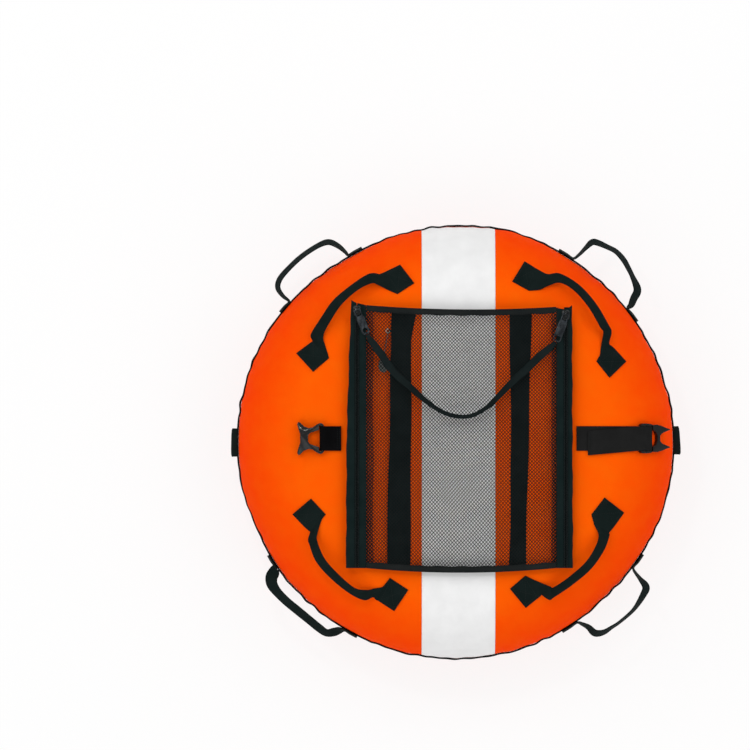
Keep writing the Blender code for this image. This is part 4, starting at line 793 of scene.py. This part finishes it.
def side_section(steps):
    """The quarter ellipse from the flat edge to the seam: radius, rise, outward normal and steepness."""
    last = math.asin(CLEAR / SEAM_HEIGHT)
    section = []
    width = COVER_RADIUS - FLAT_RADIUS
    for step in range(steps + 1):
        angle = math.pi / 2 + (last - math.pi / 2) * step / steps
        out = unit(np.array([math.cos(angle) / width, math.sin(angle) / SEAM_HEIGHT]))
        radius, rise = FLAT_RADIUS + width * math.cos(angle), SEAM_HEIGHT * math.sin(angle)
        section.append((radius, rise, *out, step / steps))
    return section


def turned_points(section, relief):
    """Rings of points round the axis, moved out by a relief. The first point of the section is the centre."""
    theta = np.arange(AROUND) * 2 * math.pi / AROUND
    points = [(0.0, 0.0, section[0][1])]
    for radius, z, out_r, out_z, steepness in section[1:]:
        x, y = radius * np.cos(theta), radius * np.sin(theta)
        shift = relief(x, y, np.full_like(x, steepness))
        reach = radius + out_r * shift
        points += list(zip(reach * np.cos(theta), reach * np.sin(theta), z + out_z * shift))
    faces = [(0, 1 + k, 1 + (k + 1) % AROUND) for k in range(AROUND)]
    return points, faces + ring_faces(1, len(section) - 1, AROUND)


def solidify(obj, thickness):
    shell = obj.modifiers.new("cloth", "SOLIDIFY")
    shell.thickness = thickness
    shell.offset = -1.0
    bake(obj, 40)


def cut_panel(mesh, low, high, opening=None):
    """Keeps what lies between two planes across X, with a sunk seam at each, and cuts an opening."""
    sunk, beside = 0.0010, 0.0022
    edit = bmesh.new()
    edit.from_mesh(mesh)

    def bisect(place, normal, clear=False):
        geometry = edit.verts[:] + edit.edges[:] + edit.faces[:]
        bmesh.ops.bisect_plane(edit, geom=geometry, plane_co=place, plane_no=normal, clear_outer=clear)

    for x, out in ((low, -1), (high, 1)):
        if x is None:
            continue
        bisect((x, 0, 0), (out, 0, 0), clear=True)
        bisect((x - out * beside, 0, 0), (out, 0, 0))
        for vertex in edit.verts:
            if abs(vertex.co.x - x) < 0.00001 and vertex.co.z > 0.15:
                vertex.co.z -= sunk
    if opening:
        x0, x1, y0, y1 = opening
        for x in (x0, x1):
            bisect((x, 0, 0), (1, 0, 0))
        for y in (y0, y1):
            bisect((0, y, 0), (0, 1, 0))
        middles = [(face, face.calc_center_median()) for face in edit.faces]
        inside = [face for face, middle in middles if x0 < middle.x < x1 and y0 < middle.y < y1]
        bmesh.ops.delete(edit, geom=inside, context="FACES")
    edit.to_mesh(mesh)
    edit.free()


def cover():
    flat = [(FLAT_RADIUS * k / 30, COVER_HEIGHT, 0.0, 1.0, 0.0) for k in range(30)]
    side = [(r, SEAM_HEIGHT + rise, out_r, out_z, s) for r, rise, out_r, out_z, s in side_section(36)]
    points, faces = turned_points(flat + side, top_relief)
    for name, low, high, look, opening, width in (
        ("cover_top_left", None, STRIPE_LEFT - CLEAR / 2, "orange", ACCESS_OPENING, 0.362),
        ("cover_stripe", STRIPE_LEFT + CLEAR / 2, STRIPE_RIGHT - CLEAR / 2, "white", None, 0.135),
        ("cover_top_right", STRIPE_RIGHT + CLEAR / 2, None, "orange", None, 0.353),
    ):
        obj = mesh_object(name + "_cloth", points, faces)
        cut_panel(obj.data, low, high, opening)
        solidify(obj, COVER_CLOTH)
        add_piece(obj, look, "buoy", (name,))

    def bottom_relief(x, y, steepness):
        theta = np.arctan2(y, x)
        shift, near = seam_shift(theta, steepness)
        return shift + near * free_share(theta) * 0.0009 * ripple(theta, 18, 48, 7, 31)

    section = [(0.0, DISH_DEPTH, 0.0, -1.0, 0.0)]
    for step in range(1, 25):
        radius = REST_INNER_RADIUS * step / 24
        section.append((radius, float(dish_height(radius)), 0.0, -1.0, 0.0))
    section += [(r, SEAM_HEIGHT - rise, out_r, -out_z, s) for r, rise, out_r, out_z, s in side_section(30)]
    points, faces = turned_points(section, bottom_relief)
    obj = mesh_object("cover_bottom_cloth", points, [face[::-1] for face in faces])
    solidify(obj, COVER_CLOTH)
    add_piece(obj, "orange", "buoy", ("cover_bottom",))


def piping():
    """A covered cord that follows the seam, a little thicker and higher in places."""
    theta = np.arange(AROUND * 2) * math.pi / AROUND
    free = free_share(theta)
    thick = PIPING_RADIUS * (1 + 0.12 * ripple(theta, 30, 90, 6, 43) * free)
    radius = COVER_RADIUS + 0.0001 + 0.98 * thick + rim_edge(theta)
    lift = 0.0004 * ripple(theta, 16, 40, 6, 41) * free
    path = np.stack([radius * np.cos(theta), radius * np.sin(theta), SEAM_HEIGHT + lift], axis=1)
    forward = unit(np.roll(path, -1, axis=0) - np.roll(path, 1, axis=0))
    side = unit(np.cross(forward, UP) + 1e-9)
    rise = unit(np.cross(side, forward))
    sides = 10
    points = []
    for k in range(sides):
        turn = 2 * math.pi * k / sides
        points.append(path + (side * math.cos(turn) + rise * math.sin(turn)) * thick[:, None])
    points = np.stack(points, axis=1).reshape(-1, 3)
    faces = ring_faces(0, len(path), sides, closed=True)
    add_piece(mesh_object("rim_piping_wavy", points, faces), "piping", nodes=("rim_piping",))


def bladder():
    inner, outer, half_height = 0.1325, 0.3830, 0.1110
    middle, half = (inner + outer) / 2, (outer - inner) / 2
    around, tube_sides, puckers = 144, 40, 24
    points = []
    for i in range(around):
        theta = 2 * math.pi * i / around
        for k in range(tube_sides):
            turn = 2 * math.pi * k / tube_sides
            pucker = 0.0012 * math.sin(puckers * theta) * max(0.0, -math.cos(turn))
            radius = middle + half * math.cos(turn) + pucker
            z = SEAM_HEIGHT + half_height * math.sin(turn)
            points.append((radius * math.cos(theta), radius * math.sin(theta), z))
    faces = ring_faces(0, around, tube_sides, closed=True)
    add_piece(mesh_object("bladder_film_ring", points, faces), "film", nodes=("bladder",))


# Mesh pocket


def pocket_bend(x, y):
    """The pocket's ends bow towards the lower edge at their middle."""
    middle, half = (NET_LEFT + NET_RIGHT) / 2, (NET_RIGHT - NET_LEFT) / 2
    bow = 1 - ((x - middle) / half) ** 2
    near_top = smoothstep((y - 0.05) / (POCKET_TOP - 0.05))
    bottom = BOTTOM_BOW * smoothstep((-0.05 - y) / (-0.05 - POCKET_BOTTOM))
    return y - bow * (TOP_DIP * near_top + bottom) - TOP_TILT * near_top * (x - middle) / half


def net():
    """Knitted threads that zigzag and meet. The side hems are folded under, so the net lies double there."""
    rows = round((NET_TOP - NET_BOTTOM) / THREAD_ROW)
    left, right = NET_LEFT - NET_TUCK, NET_RIGHT + NET_TUCK
    columns = round((right - left) / THREAD_SPACING)
    pitch = (right - left) / columns
    hem = round((HEM_WIDTH + NET_TUCK) / pitch)
    layers = [(i, 0.0, 0) for i in range(columns)]
    layers += [(i, -0.0012, 1) for i in list(range(hem)) + list(range(columns - hem, columns))]
    points, faces = [], []
    j = np.arange(rows + 1)
    for i, drop, phase in layers:
        x = left + pitch * (i + 0.5) + 0.45 * pitch * phase
        y = NET_BOTTOM + (NET_TOP - NET_BOTTOM) * j / rows
        side = np.where((i + j + phase) % 2 == 0, 1.0, -1.0)
        inside = smoothstep((x - NET_LEFT) / 0.012) * smoothstep((NET_RIGHT - x) / 0.012)
        x = x + side * pitch / 2 * 0.93 + 0.0009 * np.sin(31 * y + 4 * x) * np.sin(17 * x + 1.0) * inside
        y = pocket_bend(x, y + 0.0006 * np.sin(27 * x + 9 * y) * inside)
        tucked = 1 - smoothstep((x - NET_LEFT) / 0.003) * smoothstep((NET_RIGHT - x) / 0.003)
        z = POCKET_FLOOR + 0.0006 + drop - 0.0014 * tucked
        start = len(points)
        for px, py, pz in zip(x, y, z):
            points += [(px + a * THREAD_WIDTH / 2, py, pz + b * THREAD_HEIGHT / 2) for a, b in DIAMOND]
        faces += ring_faces(start, rows + 1, 4)
        faces.append((start + 3, start + 2, start + 1, start))
        end = start + rows * 4
        faces.append((end, end + 1, end + 2, end + 3))
    obj = add_piece(mesh_object("pocket_mesh_net", points, faces, 60.0), "thread", nodes=("pocket_mesh",))


def bindings():
    """A folded tape round the net's edge at the mouth and at the lower end."""
    section = [(0.0115, 0.0020), (0.0095, 0.0024), (0.0055, 0.0025), (0.0022, 0.0023), (0.0004, 0.0014),
               (0.0000, 0.0006), (0.0004, -0.0004), (0.0022, -0.0012), (0.0060, -0.0013), (0.0115, -0.0011)]
    paths = []
    for name, fold_y, inward in (
        ("pocket_top_binding", POCKET_TOP, -1),
        ("pocket_bottom_binding", POCKET_BOTTOM, 1),
    ):
        rows = []
        for k in range(61):
            x = NET_LEFT + (NET_RIGHT - NET_LEFT) * k / 60
            wobble = 0.0004 * math.sin(53 * x * math.pi) + 0.0003 * math.sin(131 * x)
            row = []
            for reach, rise in section:
                y = fold_y + inward * (reach + wobble * (reach > 0.005))
                row.append((x, float(pocket_bend(x, y)), POCKET_FLOOR + rise))
            rows.append(row[::-inward])
        ribbon(name, "tape", rows, -0.0006, "binding", smooth_angle=70.0)
        for reach in (0.0030, 0.0092):
            xs = np.linspace(NET_LEFT + 0.002, NET_RIGHT - 0.002, 60)
            y = fold_y + inward * reach
            paths.append([(x, float(pocket_bend(x, y)), POCKET_FLOOR + 0.0030) for x in xs])
    stitches("binding_stitches", paths)


def tape_edge(side, y):
    """The outer edge of the outer tape, which leans in towards the top at the left."""
    places = TAPE_EDGES[side]
    return float(np.interp(y, [at for at, _ in places], [x for _, x in places]))


def zip_tapes():
    steps = 80
    for side, inner_x, tops in (
        ("left", NET_LEFT - 0.0002, {"outer": (0.2560, 0.2610), "inner": (0.2560, 0.2518)}),
        ("right", NET_RIGHT + 0.0002, {"outer": (0.2440, 0.2520), "inner": (0.2440, 0.2470)}),
    ):
        coil_x, out = COIL_X[side], OUTWARD[side]
        for half, near in (("outer", coil_x + out * TAPE_GAP / 2), ("inner", coil_x - out * TAPE_GAP / 2)):
            near_top, far_top = tops[half]
            rows = []
            for k in range(steps + 1):
                loose = float(smoothstep(min(k, steps - k) / 6))
                row = []
                for share in (0.0, 0.15, 0.4, 0.7, 1.0):
                    top_y = near_top + (far_top - near_top) * share
                    y = POCKET_BOTTOM + (top_y - POCKET_BOTTOM) * k / steps
                    far, sag = inner_x, 0.0
                    if half == "outer":
                        far = tape_edge(side, y)
                        far += loose * (0.0006 * math.sin(71 * y + 2 * coil_x) + 0.0003 * math.sin(190 * y))
                        sag = -0.0005 * share * loose * (1 + math.sin(43 * y + out))
                    row.append((near + (far - near) * share, y, POCKET_FLOOR + sag))
                rows.append(row if far > near else row[::-1])
            ribbon(f"zip_tape_{side}_{half}", "cloth", rows, -TAPE_THICKNESS, "tape")
    paths = []
    for x, top in ((-0.1865, 0.252), (-0.1675, 0.250), (0.2042, 0.242), (0.1855, 0.243)):
        paths.append([(x, y, POCKET_FLOOR + TAPE_THICKNESS + 0.0001) for y in np.linspace(-0.226, top, 80)])
    stitches("tape_stitches", paths)


# One turn of a coil: its section, as shares of pitch and height, and how its size changes along its width
COIL_SECTION = [(0.0, 0.0), (0.30, 0.02), (0.44, 0.40), (0.34, 0.85),
                (0.0, 1.0), (-0.34, 0.85), (-0.44, 0.40), (-0.30, 0.02)]
COIL_SIZES = [(0.0, 0.55), (0.12, 0.95), (0.80, 1.0), (1.0, 0.45)]


def coils(name, near_x, out, low_y, high_y, base_z, width, height, pitch):
    """One row of a coil: a small rounded bar for each turn, standing on its tape."""
    sides = len(COIL_SECTION)
    points, faces = [], []
    for k in range(int((high_y - low_y) / pitch)):
        y = low_y + pitch * (k + 0.5)
        base = len(points)
        for share, size in COIL_SIZES:
            for v, w in COIL_SECTION:
                rise = height * (0.5 + (w - 0.5) * size)
                points.append((near_x + out * width * share, y + v * pitch * size, base_z + rise))
        faces += ring_faces(base, len(COIL_SIZES), sides)
        faces += [tuple(range(base, base + sides)), tuple(range(len(points) - sides, len(points)))]
    add_piece(mesh_object(name + "_teeth", points, faces, 50.0), "coil", nodes=(name,))


def all_coils():
    base = POCKET_FLOOR + TAPE_THICKNESS + 0.0001
    for side, top in (("left", 0.2515), ("right", 0.2425)):
        out = OUTWARD[side]
        for half, sign in (("outer", out), ("inner", -out)):
            near = COIL_X[side] + sign * TAPE_GAP / 2
            coils(f"zip_coil_{side}_{half}", near, sign, -0.2275, top, base, 0.0030, 0.0022, TOOTH_PITCH)
    for half, sign in OUTWARD.items():
        name = f"access_coil_{half}"
        low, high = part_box(name)
        near = ACCESS_COIL_X + sign * 0.0006
        coils(name, near, sign, low[1], high[1], low[2], 0.0024, 0.0018, 0.0016)


def gussets():
    """Cloth walls under the tapes and the lower binding. Those at the sides fold in under the coils."""
    top_z = POCKET_FLOOR - CLEAR - 0.0006
    folds = [(0.0, 0.0), (0.06, 0.2), (0.22, 0.72), (0.36, 0.97), (0.44, 1.0), (0.52, 0.97), (0.68, 0.72),
             (0.92, 0.2), (1.0, 0.0)]
    for side, cut in (("left", 0.047), ("right", 0.034)):
        coil_x, out = COIL_X[side], OUTWARD[side]
        rows = []
        for k in range(61):
            y = POCKET_BOTTOM + (0.2480 - POCKET_BOTTOM) * k / 60
            x = tape_edge(side, y) - out * 0.0020
            low = float(top_height(x, y)) + SEAT
            ends = float(smoothstep(min(k, 60 - k) / 5))
            fold = (abs(x - coil_x) + 0.0030) * (1 + 0.06 * math.sin(57 * y + x * 9) * ends)
            rise = top_z - low
            rows.append([(x - out * fold * inward, y, low + rise * share) for share, inward in folds])
        piece = ribbon("pocket_gusset_" + side, "cloth", rows, out * 0.0010, "tape")
    rows = []
    left, right = -0.1990, 0.2100
    top_z = POCKET_FLOOR - 0.0024
    for k in range(61):
        x = left + (right - left) * k / 60
        y = float(pocket_bend(np.clip(x, NET_LEFT, NET_RIGHT), POCKET_BOTTOM + 0.0016))
        low = float(top_height(x, y)) + SEAT
        rows.append([(x, y, low + (top_z - low) * share) for share in (0.0, 0.33, 0.67, 1.0)])
    piece = ribbon("pocket_gusset_bottom", "cloth", rows, -0.0010, "tape")


def flaps():
    """The storm flap, hemmed to the cover along its right edge, and the plain band."""
    seat = COVER_HEIGHT + CLEAR
    rows = []
    for k in range(81):
        y = BAND_TOP + (BAND_BOTTOM - BAND_TOP) * k / 80
        right = float(np.interp(y, [BAND_BOTTOM, 0.1900, BAND_TOP], [-0.0842, -0.0822, -0.0735]))
        right += 0.0006 * math.sin(29 * y)
        left = float(np.interp(y, [BAND_BOTTOM, BAND_TOP], [-0.1275, -0.1187]))
        left += 0.0010 * math.sin(23 * y + 1.0)
        left = max(left, -0.1196 - 0.0100 * smoothstep((0.165 - y) / 0.05))
        wave_up = 0.0004 * (1 + math.sin(37 * y + 0.6))
        over_zip = 0.0027 * smoothstep((0.190 - y) / 0.025)
        rows.append([
            (right, y, seat),
            (right - 0.0040, y, seat),
            (-0.0925, y, seat + 0.0036),
            (-0.0980, y, seat + 0.0047),
            ((right + left) / 2 - 0.006, y, seat + 0.0048 + wave_up),
            (left + 0.0040, y, seat + 0.0045 + wave_up + over_zip),
            (left, y, seat + 0.0040 + wave_up + over_zip),
        ])
    piece = ribbon("access_flap", "cloth", rows, -0.0009, "band")
    rows = []
    for k in range(81):
        share = k / 80
        y = BAND_TOP + (BAND_BOTTOM - BAND_TOP) * k / 80
        left = 0.0965 + 0.0035 * math.sin(math.pi * share) + 0.0007 * math.sin(31 * y)
        right = 0.1375 + (0.1268 - 0.1375) * share + 0.0008 * math.sin(27 * y + 2.0)
        rows.append([(right + (left - right) * s, y, seat) for s in (0.0, 0.2, 0.5, 0.8, 1.0)])
    piece = ribbon("inner_band_right", "cloth", rows, -0.0012, "band")
    paths = []
    for x_top, x_bottom, z in ((-0.0835, -0.0856, seat + 0.0012), (-0.0850, -0.0871, seat + 0.0012),
                               (0.0995, 0.1005, seat + 0.0015), (0.1345, 0.1240, seat + 0.0015)):
        paths.append([(x_top + (x_bottom - x_top) * s, 0.190 - 0.417 * s, z) for s in np.linspace(0, 1, 40)])
    stitches("band_stitches", paths)


def access_tapes():
    for half in ("left", "right"):
        name = f"access_tape_{half}"
        low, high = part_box(name)
        rows = []
        for k in range(41):
            y = low[1] + (high[1] - low[1]) * k / 40
            rows.append([(low[0] + (high[0] - low[0]) * s, y, high[2]) for s in (0.0, 0.3, 0.7, 1.0)])
        ribbon(name, "cloth", rows, 0.0008, "tape")


# Pulls and cord


def pull_cord():
    """A flat cord whose ends lie flat by the pulls and whose middle stands on its edge."""
    path = spline(CORD_ROUTE, 8)
    reach = travelled(path)
    share = reach / reach[-1]
    forward = unit(np.gradient(path, axis=0))
    side = unit(np.cross(forward, UP))
    twist = np.radians(np.interp(share, [s for s, _ in CORD_TWIST], [a for _, a in CORD_TWIST]))
    window = np.hanning(17)
    padded = np.pad(twist, 8, mode="edge")
    twist = np.convolve(padded, window / window.sum(), mode="valid")
    gather = 1 - 0.45 * np.exp(-((share / 0.03) ** 2)) - 0.45 * np.exp(-(((1 - share) / 0.03) ** 2))
    rows = []
    for point, across, turn, size in zip(path, side, twist, gather):
        lean = across * math.cos(turn) + UP * math.sin(turn)
        rows.append([point + lean * CORD_WIDTH * size * s for s in (-0.5, -0.25, 0.0, 0.25, 0.5)])
    rows = np.array(rows)
    rows[:, :, 2] -= CORD_THICKNESS / 2
    obj = ribbon("pull_cord", "flat", rows, CORD_THICKNESS, "cord", "left_slider")


def small_metal():
    for node, look, bevel in (
        ("zip_slider_left", "slider", 0.00060),
        ("zip_slider_right", "slider", 0.00060),
        ("zip_pull_left", "metal", 0.00040),
        ("zip_pull_right", "metal", 0.00040),
        ("access_zip_slider", "metal", 0.00015),
        ("access_pull_ring", "brass", 0.00005),
        ("access_zip_pull", "rubber", 0.00020),
    ):
        finished(node, look, bevel)


# Webbing


def top_handles():
    patch_paths = []
    for side, edges in TOP_HANDLES.items():
        corners = np.array(edges)
        outer, inner = corners[:, :2], corners[:, 2:]
        steps = 8
        last = len(edges) - 1
        fine = np.arange(last * steps + 1) / steps
        smooth = spline(corners, steps)
        straight = np.stack([np.interp(fine, range(len(edges)), corners[:, i]) for i in range(4)], axis=1)
        sharp = (fine <= 2.0) | (fine >= last - 2.0)
        plan = np.where(sharp[:, None], straight, smooth)
        middle = (plan[:, :2] + plan[:, 2:]) / 2
        reach = travelled(middle)
        start, end = reach[steps], reach[-1 - steps]
        from_fold = np.minimum(reach - start, end - reach)
        free = np.clip(from_fold / ((end - start) / 2), 0.0, 1.0)
        curl = 1 - GRIP_CURL * smoothstep(free * 3)[:, None]
        plan = np.hstack([middle + (plan[:, :2] - middle) * curl, middle + (plan[:, 2:] - middle) * curl])
        travel = outer[1] - outer[0]
        first_across = inner[0] - outer[0]
        faces_up = travel[0] * first_across[1] - travel[1] * first_across[0] > 0
        rows = []
        for row, amount in zip(plan, free):
            points = [row[:2] + (row[2:] - row[:2]) * s for s in np.linspace(0, 1, 9)]
            heights = np.array([float(top_height(px, py)) + SEAT for px, py in points])
            flat = heights.max() + GRIP_RISE * float(smoothstep(amount * 1.3))
            level = float(smoothstep(amount * 3))
            cup = 0.0015 * level
            made = []
            for s, (px, py), h in zip(np.linspace(-1, 1, 9), points, heights):
                made.append((px, py, h + (flat - h) * level - cup * s * s))
            rows.append(made if faces_up else made[::-1])
        ribbon(f"top_handle_{side}", "webbing", rows, WEB_THICKNESS, "webbing")
        for end_rows in (corners[:2], corners[-2:]):
            a, b, c, d = end_rows[0, :2], end_rows[0, 2:], end_rows[1, 2:], end_rows[1, :2]
            centre = (a + b + c + d) / 4
            inset = [centre + (p - centre) * 0.80 for p in (a, b, c, d)]
            for p, q in ((0, 1), (1, 2), (2, 3), (3, 0), (0, 2), (1, 3)):
                line = [inset[p] + (inset[q] - inset[p]) * s for s in np.linspace(0, 1, 9)]
                lift = SEAT + WEB_THICKNESS + 0.0001
                patch_paths.append([(x, y, float(top_height(x, y)) + lift) for x, y in line])
    stitches("handle_patch_stitches", patch_paths)


def rim_handles():
    foot_paths = []
    for side, (first_foot, last_foot, free_points) in RIM_HANDLES.items():
        feet = []
        for start, end in (first_foot, last_foot):
            feet.append([(start + (end - start) * share, CLEAR, FOOT_LEAN) for share in (0.0, 0.5, 1.0)])
        route = []
        for degrees, past, lean in feet[0] + free_points + feet[1]:
            turn = math.radians(degrees)
            radius = PIPING_OUTER + past
            radius += float(outline_shift(np.array(turn)) * smoothstep(1 - past / 0.035))
            route.append((radius * math.cos(turn), radius * math.sin(turn), lean))
        plan = spline(route, 8)
        way = unit(np.gradient(plan[:, :2], axis=0))
        rows = []
        for (x, y, lean), (wx, wy) in zip(plan, way):
            tilt = math.radians(lean)
            row = []
            for s in (-0.5, -0.3, 0.0, 0.3, 0.5):
                along = s * RIM_WEB_WIDTH
                px, py = x + wy * along * math.sin(tilt), y - wx * along * math.sin(tilt)
                row.append((px, py, SEAM_HEIGHT + along * math.cos(tilt)))
            rows.append(row)
        ribbon(f"rim_handle_{side}", "webbing", rows, -WEB_THICKNESS, "webbing")
        for foot in (first_foot, last_foot):
            for share in (0.15, 0.85):
                turn = math.radians(foot[0] + (foot[1] - foot[0]) * share)
                radius = PIPING_OUTER + CLEAR + float(outline_shift(np.array(turn))) + WEB_THICKNESS + 0.0001
                foot_paths.append([
                    (radius * math.cos(turn), radius * math.sin(turn), SEAM_HEIGHT + h)
                    for h in np.linspace(-0.010, 0.010, 8)
                ])
    stitches("handle_foot_stitches", foot_paths)


def side_loops():
    half_gap = 0.0028
    width = 0.0520
    for side, direction, middle, skew in (("left", -1, 0.0, 0.0010), ("right", 1, 0.0040, 0.0035)):
        shift = float(outline_shift(np.array(math.pi if direction < 0 else 0.0)))
        start = COVER_RADIUS + SEAM_REACH + 2 * CLEAR + shift
        end = PIPING_OUTER + 0.0145 - WEB_THICKNESS - half_gap
        section = [(start, half_gap), ((start + end) / 2, half_gap + 0.0008)]
        for k in range(9):
            turn = math.pi / 2 - math.pi * k / 8
            section.append((end + half_gap * math.cos(turn), half_gap * math.sin(turn)))
        section += [((start + end) / 2, -half_gap - 0.0008), (start, -half_gap)]
        rows = []
        for radius, rise in section:
            row = []
            for s in (0.5, 0.42, 0.25, 0.0, -0.25, -0.42, -0.5):
                loose = (radius - start) / (end + half_gap - start)
                reach = radius - loose * (skew * (s + 0.5) + 0.0018 * smoothstep((abs(s) - 0.38) / 0.12))
                row.append((direction * reach, middle + s * width, SEAM_HEIGHT + rise))
            rows.append(row)
        ribbon(f"side_loop_{side}", "webbing", rows, -WEB_THICKNESS * direction, "webbing", along=2)


# Buckle


def buckle_webbing():
    """The folded tab at the left and the folded strap at the right."""
    half, y = BUCKLE_HALF_WIDTH, BUCKLE_Y
    bar_z = COVER_HEIGHT + 0.0065
    face = 0.0028
    bar_left, bar_right = -0.2483, -0.2420
    low = COVER_HEIGHT + CLEAR + WEB_THICKNESS
    section = [
        (-0.2110, low), (-0.2280, low), (bar_right + 0.0070, low), (bar_right, bar_z - face),
        (bar_left + 0.0008, bar_z - face), (bar_left, bar_z - face + 0.0010),
        (bar_left, bar_z + face - 0.0010), (bar_left + 0.0008, bar_z + face), (bar_right, bar_z + face),
        (bar_right + 0.0130, low + 0.0006), (-0.2200, low + 0.0006), (-0.2110, low + 0.0006),
    ]
    rows = [[(x, y + s * half, z) for s in (1, 0.5, 0, -0.5, -1)] for x, z in section]
    ribbon("buckle_tab", "webbing", rows, -WEB_THICKNESS, "tab", along=3)

    tilt = math.radians(38.0)
    start_x = 0.3345
    male_z = float(top_height(start_x, 0.0)) + 0.0072
    face, end = 0.0024, 0.0265

    def on_buckle(along, up):
        x = start_x + along * math.cos(tilt) + up * math.sin(tilt)
        return (x, male_z - along * math.sin(tilt) + up * math.cos(tilt))

    def on_cover(x, layer):
        return (x, float(top_height(x, 0.0)) + SEAT + WEB_THICKNESS + layer)

    fold_x = 0.3150
    route = []
    for k in range(11):
        route.append((on_cover(0.2198 + (fold_x - 0.2198) * k / 10, 0.0), 0.0))
    for along, up in ((0.0030, -face), (0.0150, -face), (end - 0.0008, -face), (end, -face + 0.0010),
                      (end, face - 0.0010), (end - 0.0008, face), (0.0150, face), (0.0010, face)):
        route.append((on_buckle(along, up), 0.0))
    for k in range(11):
        swing = 0.0085 * (0.2 + 0.8 * k / 10)
        route.append((on_cover(fold_x + (0.2405 - fold_x) * k / 10, 0.0006), swing))
    rows = []
    for (x, z), swing in route:
        rows.append([(x, y + s * half - swing, z) for s in (1, 0.5, 0, -0.5, -1)])
    ribbon("buckle_strap", "webbing", rows, WEB_THICKNESS, "strap", along=2)
    paths = []
    for x in (0.2435, 0.2465):
        paths.append([(x, v, float(top_height(x, 0)) + 0.0074) for v in np.linspace(-0.019, 0.019, 8)])
    for x in (-0.2140, -0.2180):
        paths.append([(x, y + v, low + 0.0028) for v in np.linspace(-0.019, 0.019, 8)])
    stitches("buckle_stitches", paths)


def buckle_halves():
    finished("buckle_female", "plastic", 0.0010, 3)
    finished("buckle_male", "plastic", 0.0009, 3)


# Underside


def underside():
    half, width, thick = 0.1850, 0.0380, 0.0018
    for name, along_x, step_down, side in (
        ("bottom_strap_x", True, 0.0, -1),
        ("bottom_strap_y", False, thick + CLEAR, 1),
    ):
        rows = []
        for k in range(49):
            at = half * (2 * k / 48 - 1)
            crossing = 1 - float(smoothstep((abs(at) - width / 2 - 0.004) / 0.03))
            level = min(float(dish_height(math.hypot(at, s))) for s in (0.0, width / 2))
            z = level - SEAT - step_down * crossing
            sides = [share * width for share in (-0.5, -0.25, 0.0, 0.25, 0.5)]
            rows.append([(at, across, z) if along_x else (across, at, z) for across in sides])
        ribbon(name, "webbing", rows, thick * side, "webbing")
    bar_z = 0.0185
    radius = 0.0025 + CLEAR
    top = bar_z + 0.0025 + CLEAR
    section = [(-0.0190, top), (-0.0110, top), (-radius - 0.0015, top)]
    for k in range(9):
        turn = math.pi + math.pi * k / 8
        section.append((radius * math.cos(turn), bar_z + radius * math.sin(turn)))
    section += [(radius + 0.0015, top), (0.0110, top), (0.0190, top)]
    rows = [[(s * 0.0120, y, z) for s in (-1, -0.5, 0, 0.5, 1)] for y, z in section]
    ribbon("ring_keeper", "webbing", rows, 0.0016, "webbing")
    finished("line_ring", "steel", 0.00002, 1)
    for node, look in (("valve_body", "film"), ("valve_plug", "plastic")):
        finished(node, look, 0.0004)


camera()
pull_cord()
lamps()
floor()
cover()
piping()
bladder()
net()
bindings()
zip_tapes()
all_coils()
gussets()
flaps()
access_tapes()
small_metal()
top_handles()
rim_handles()
side_loops()
buckle_webbing()
buckle_halves()
underside()

bpy.context.scene.view_settings.view_transform = "Standard"
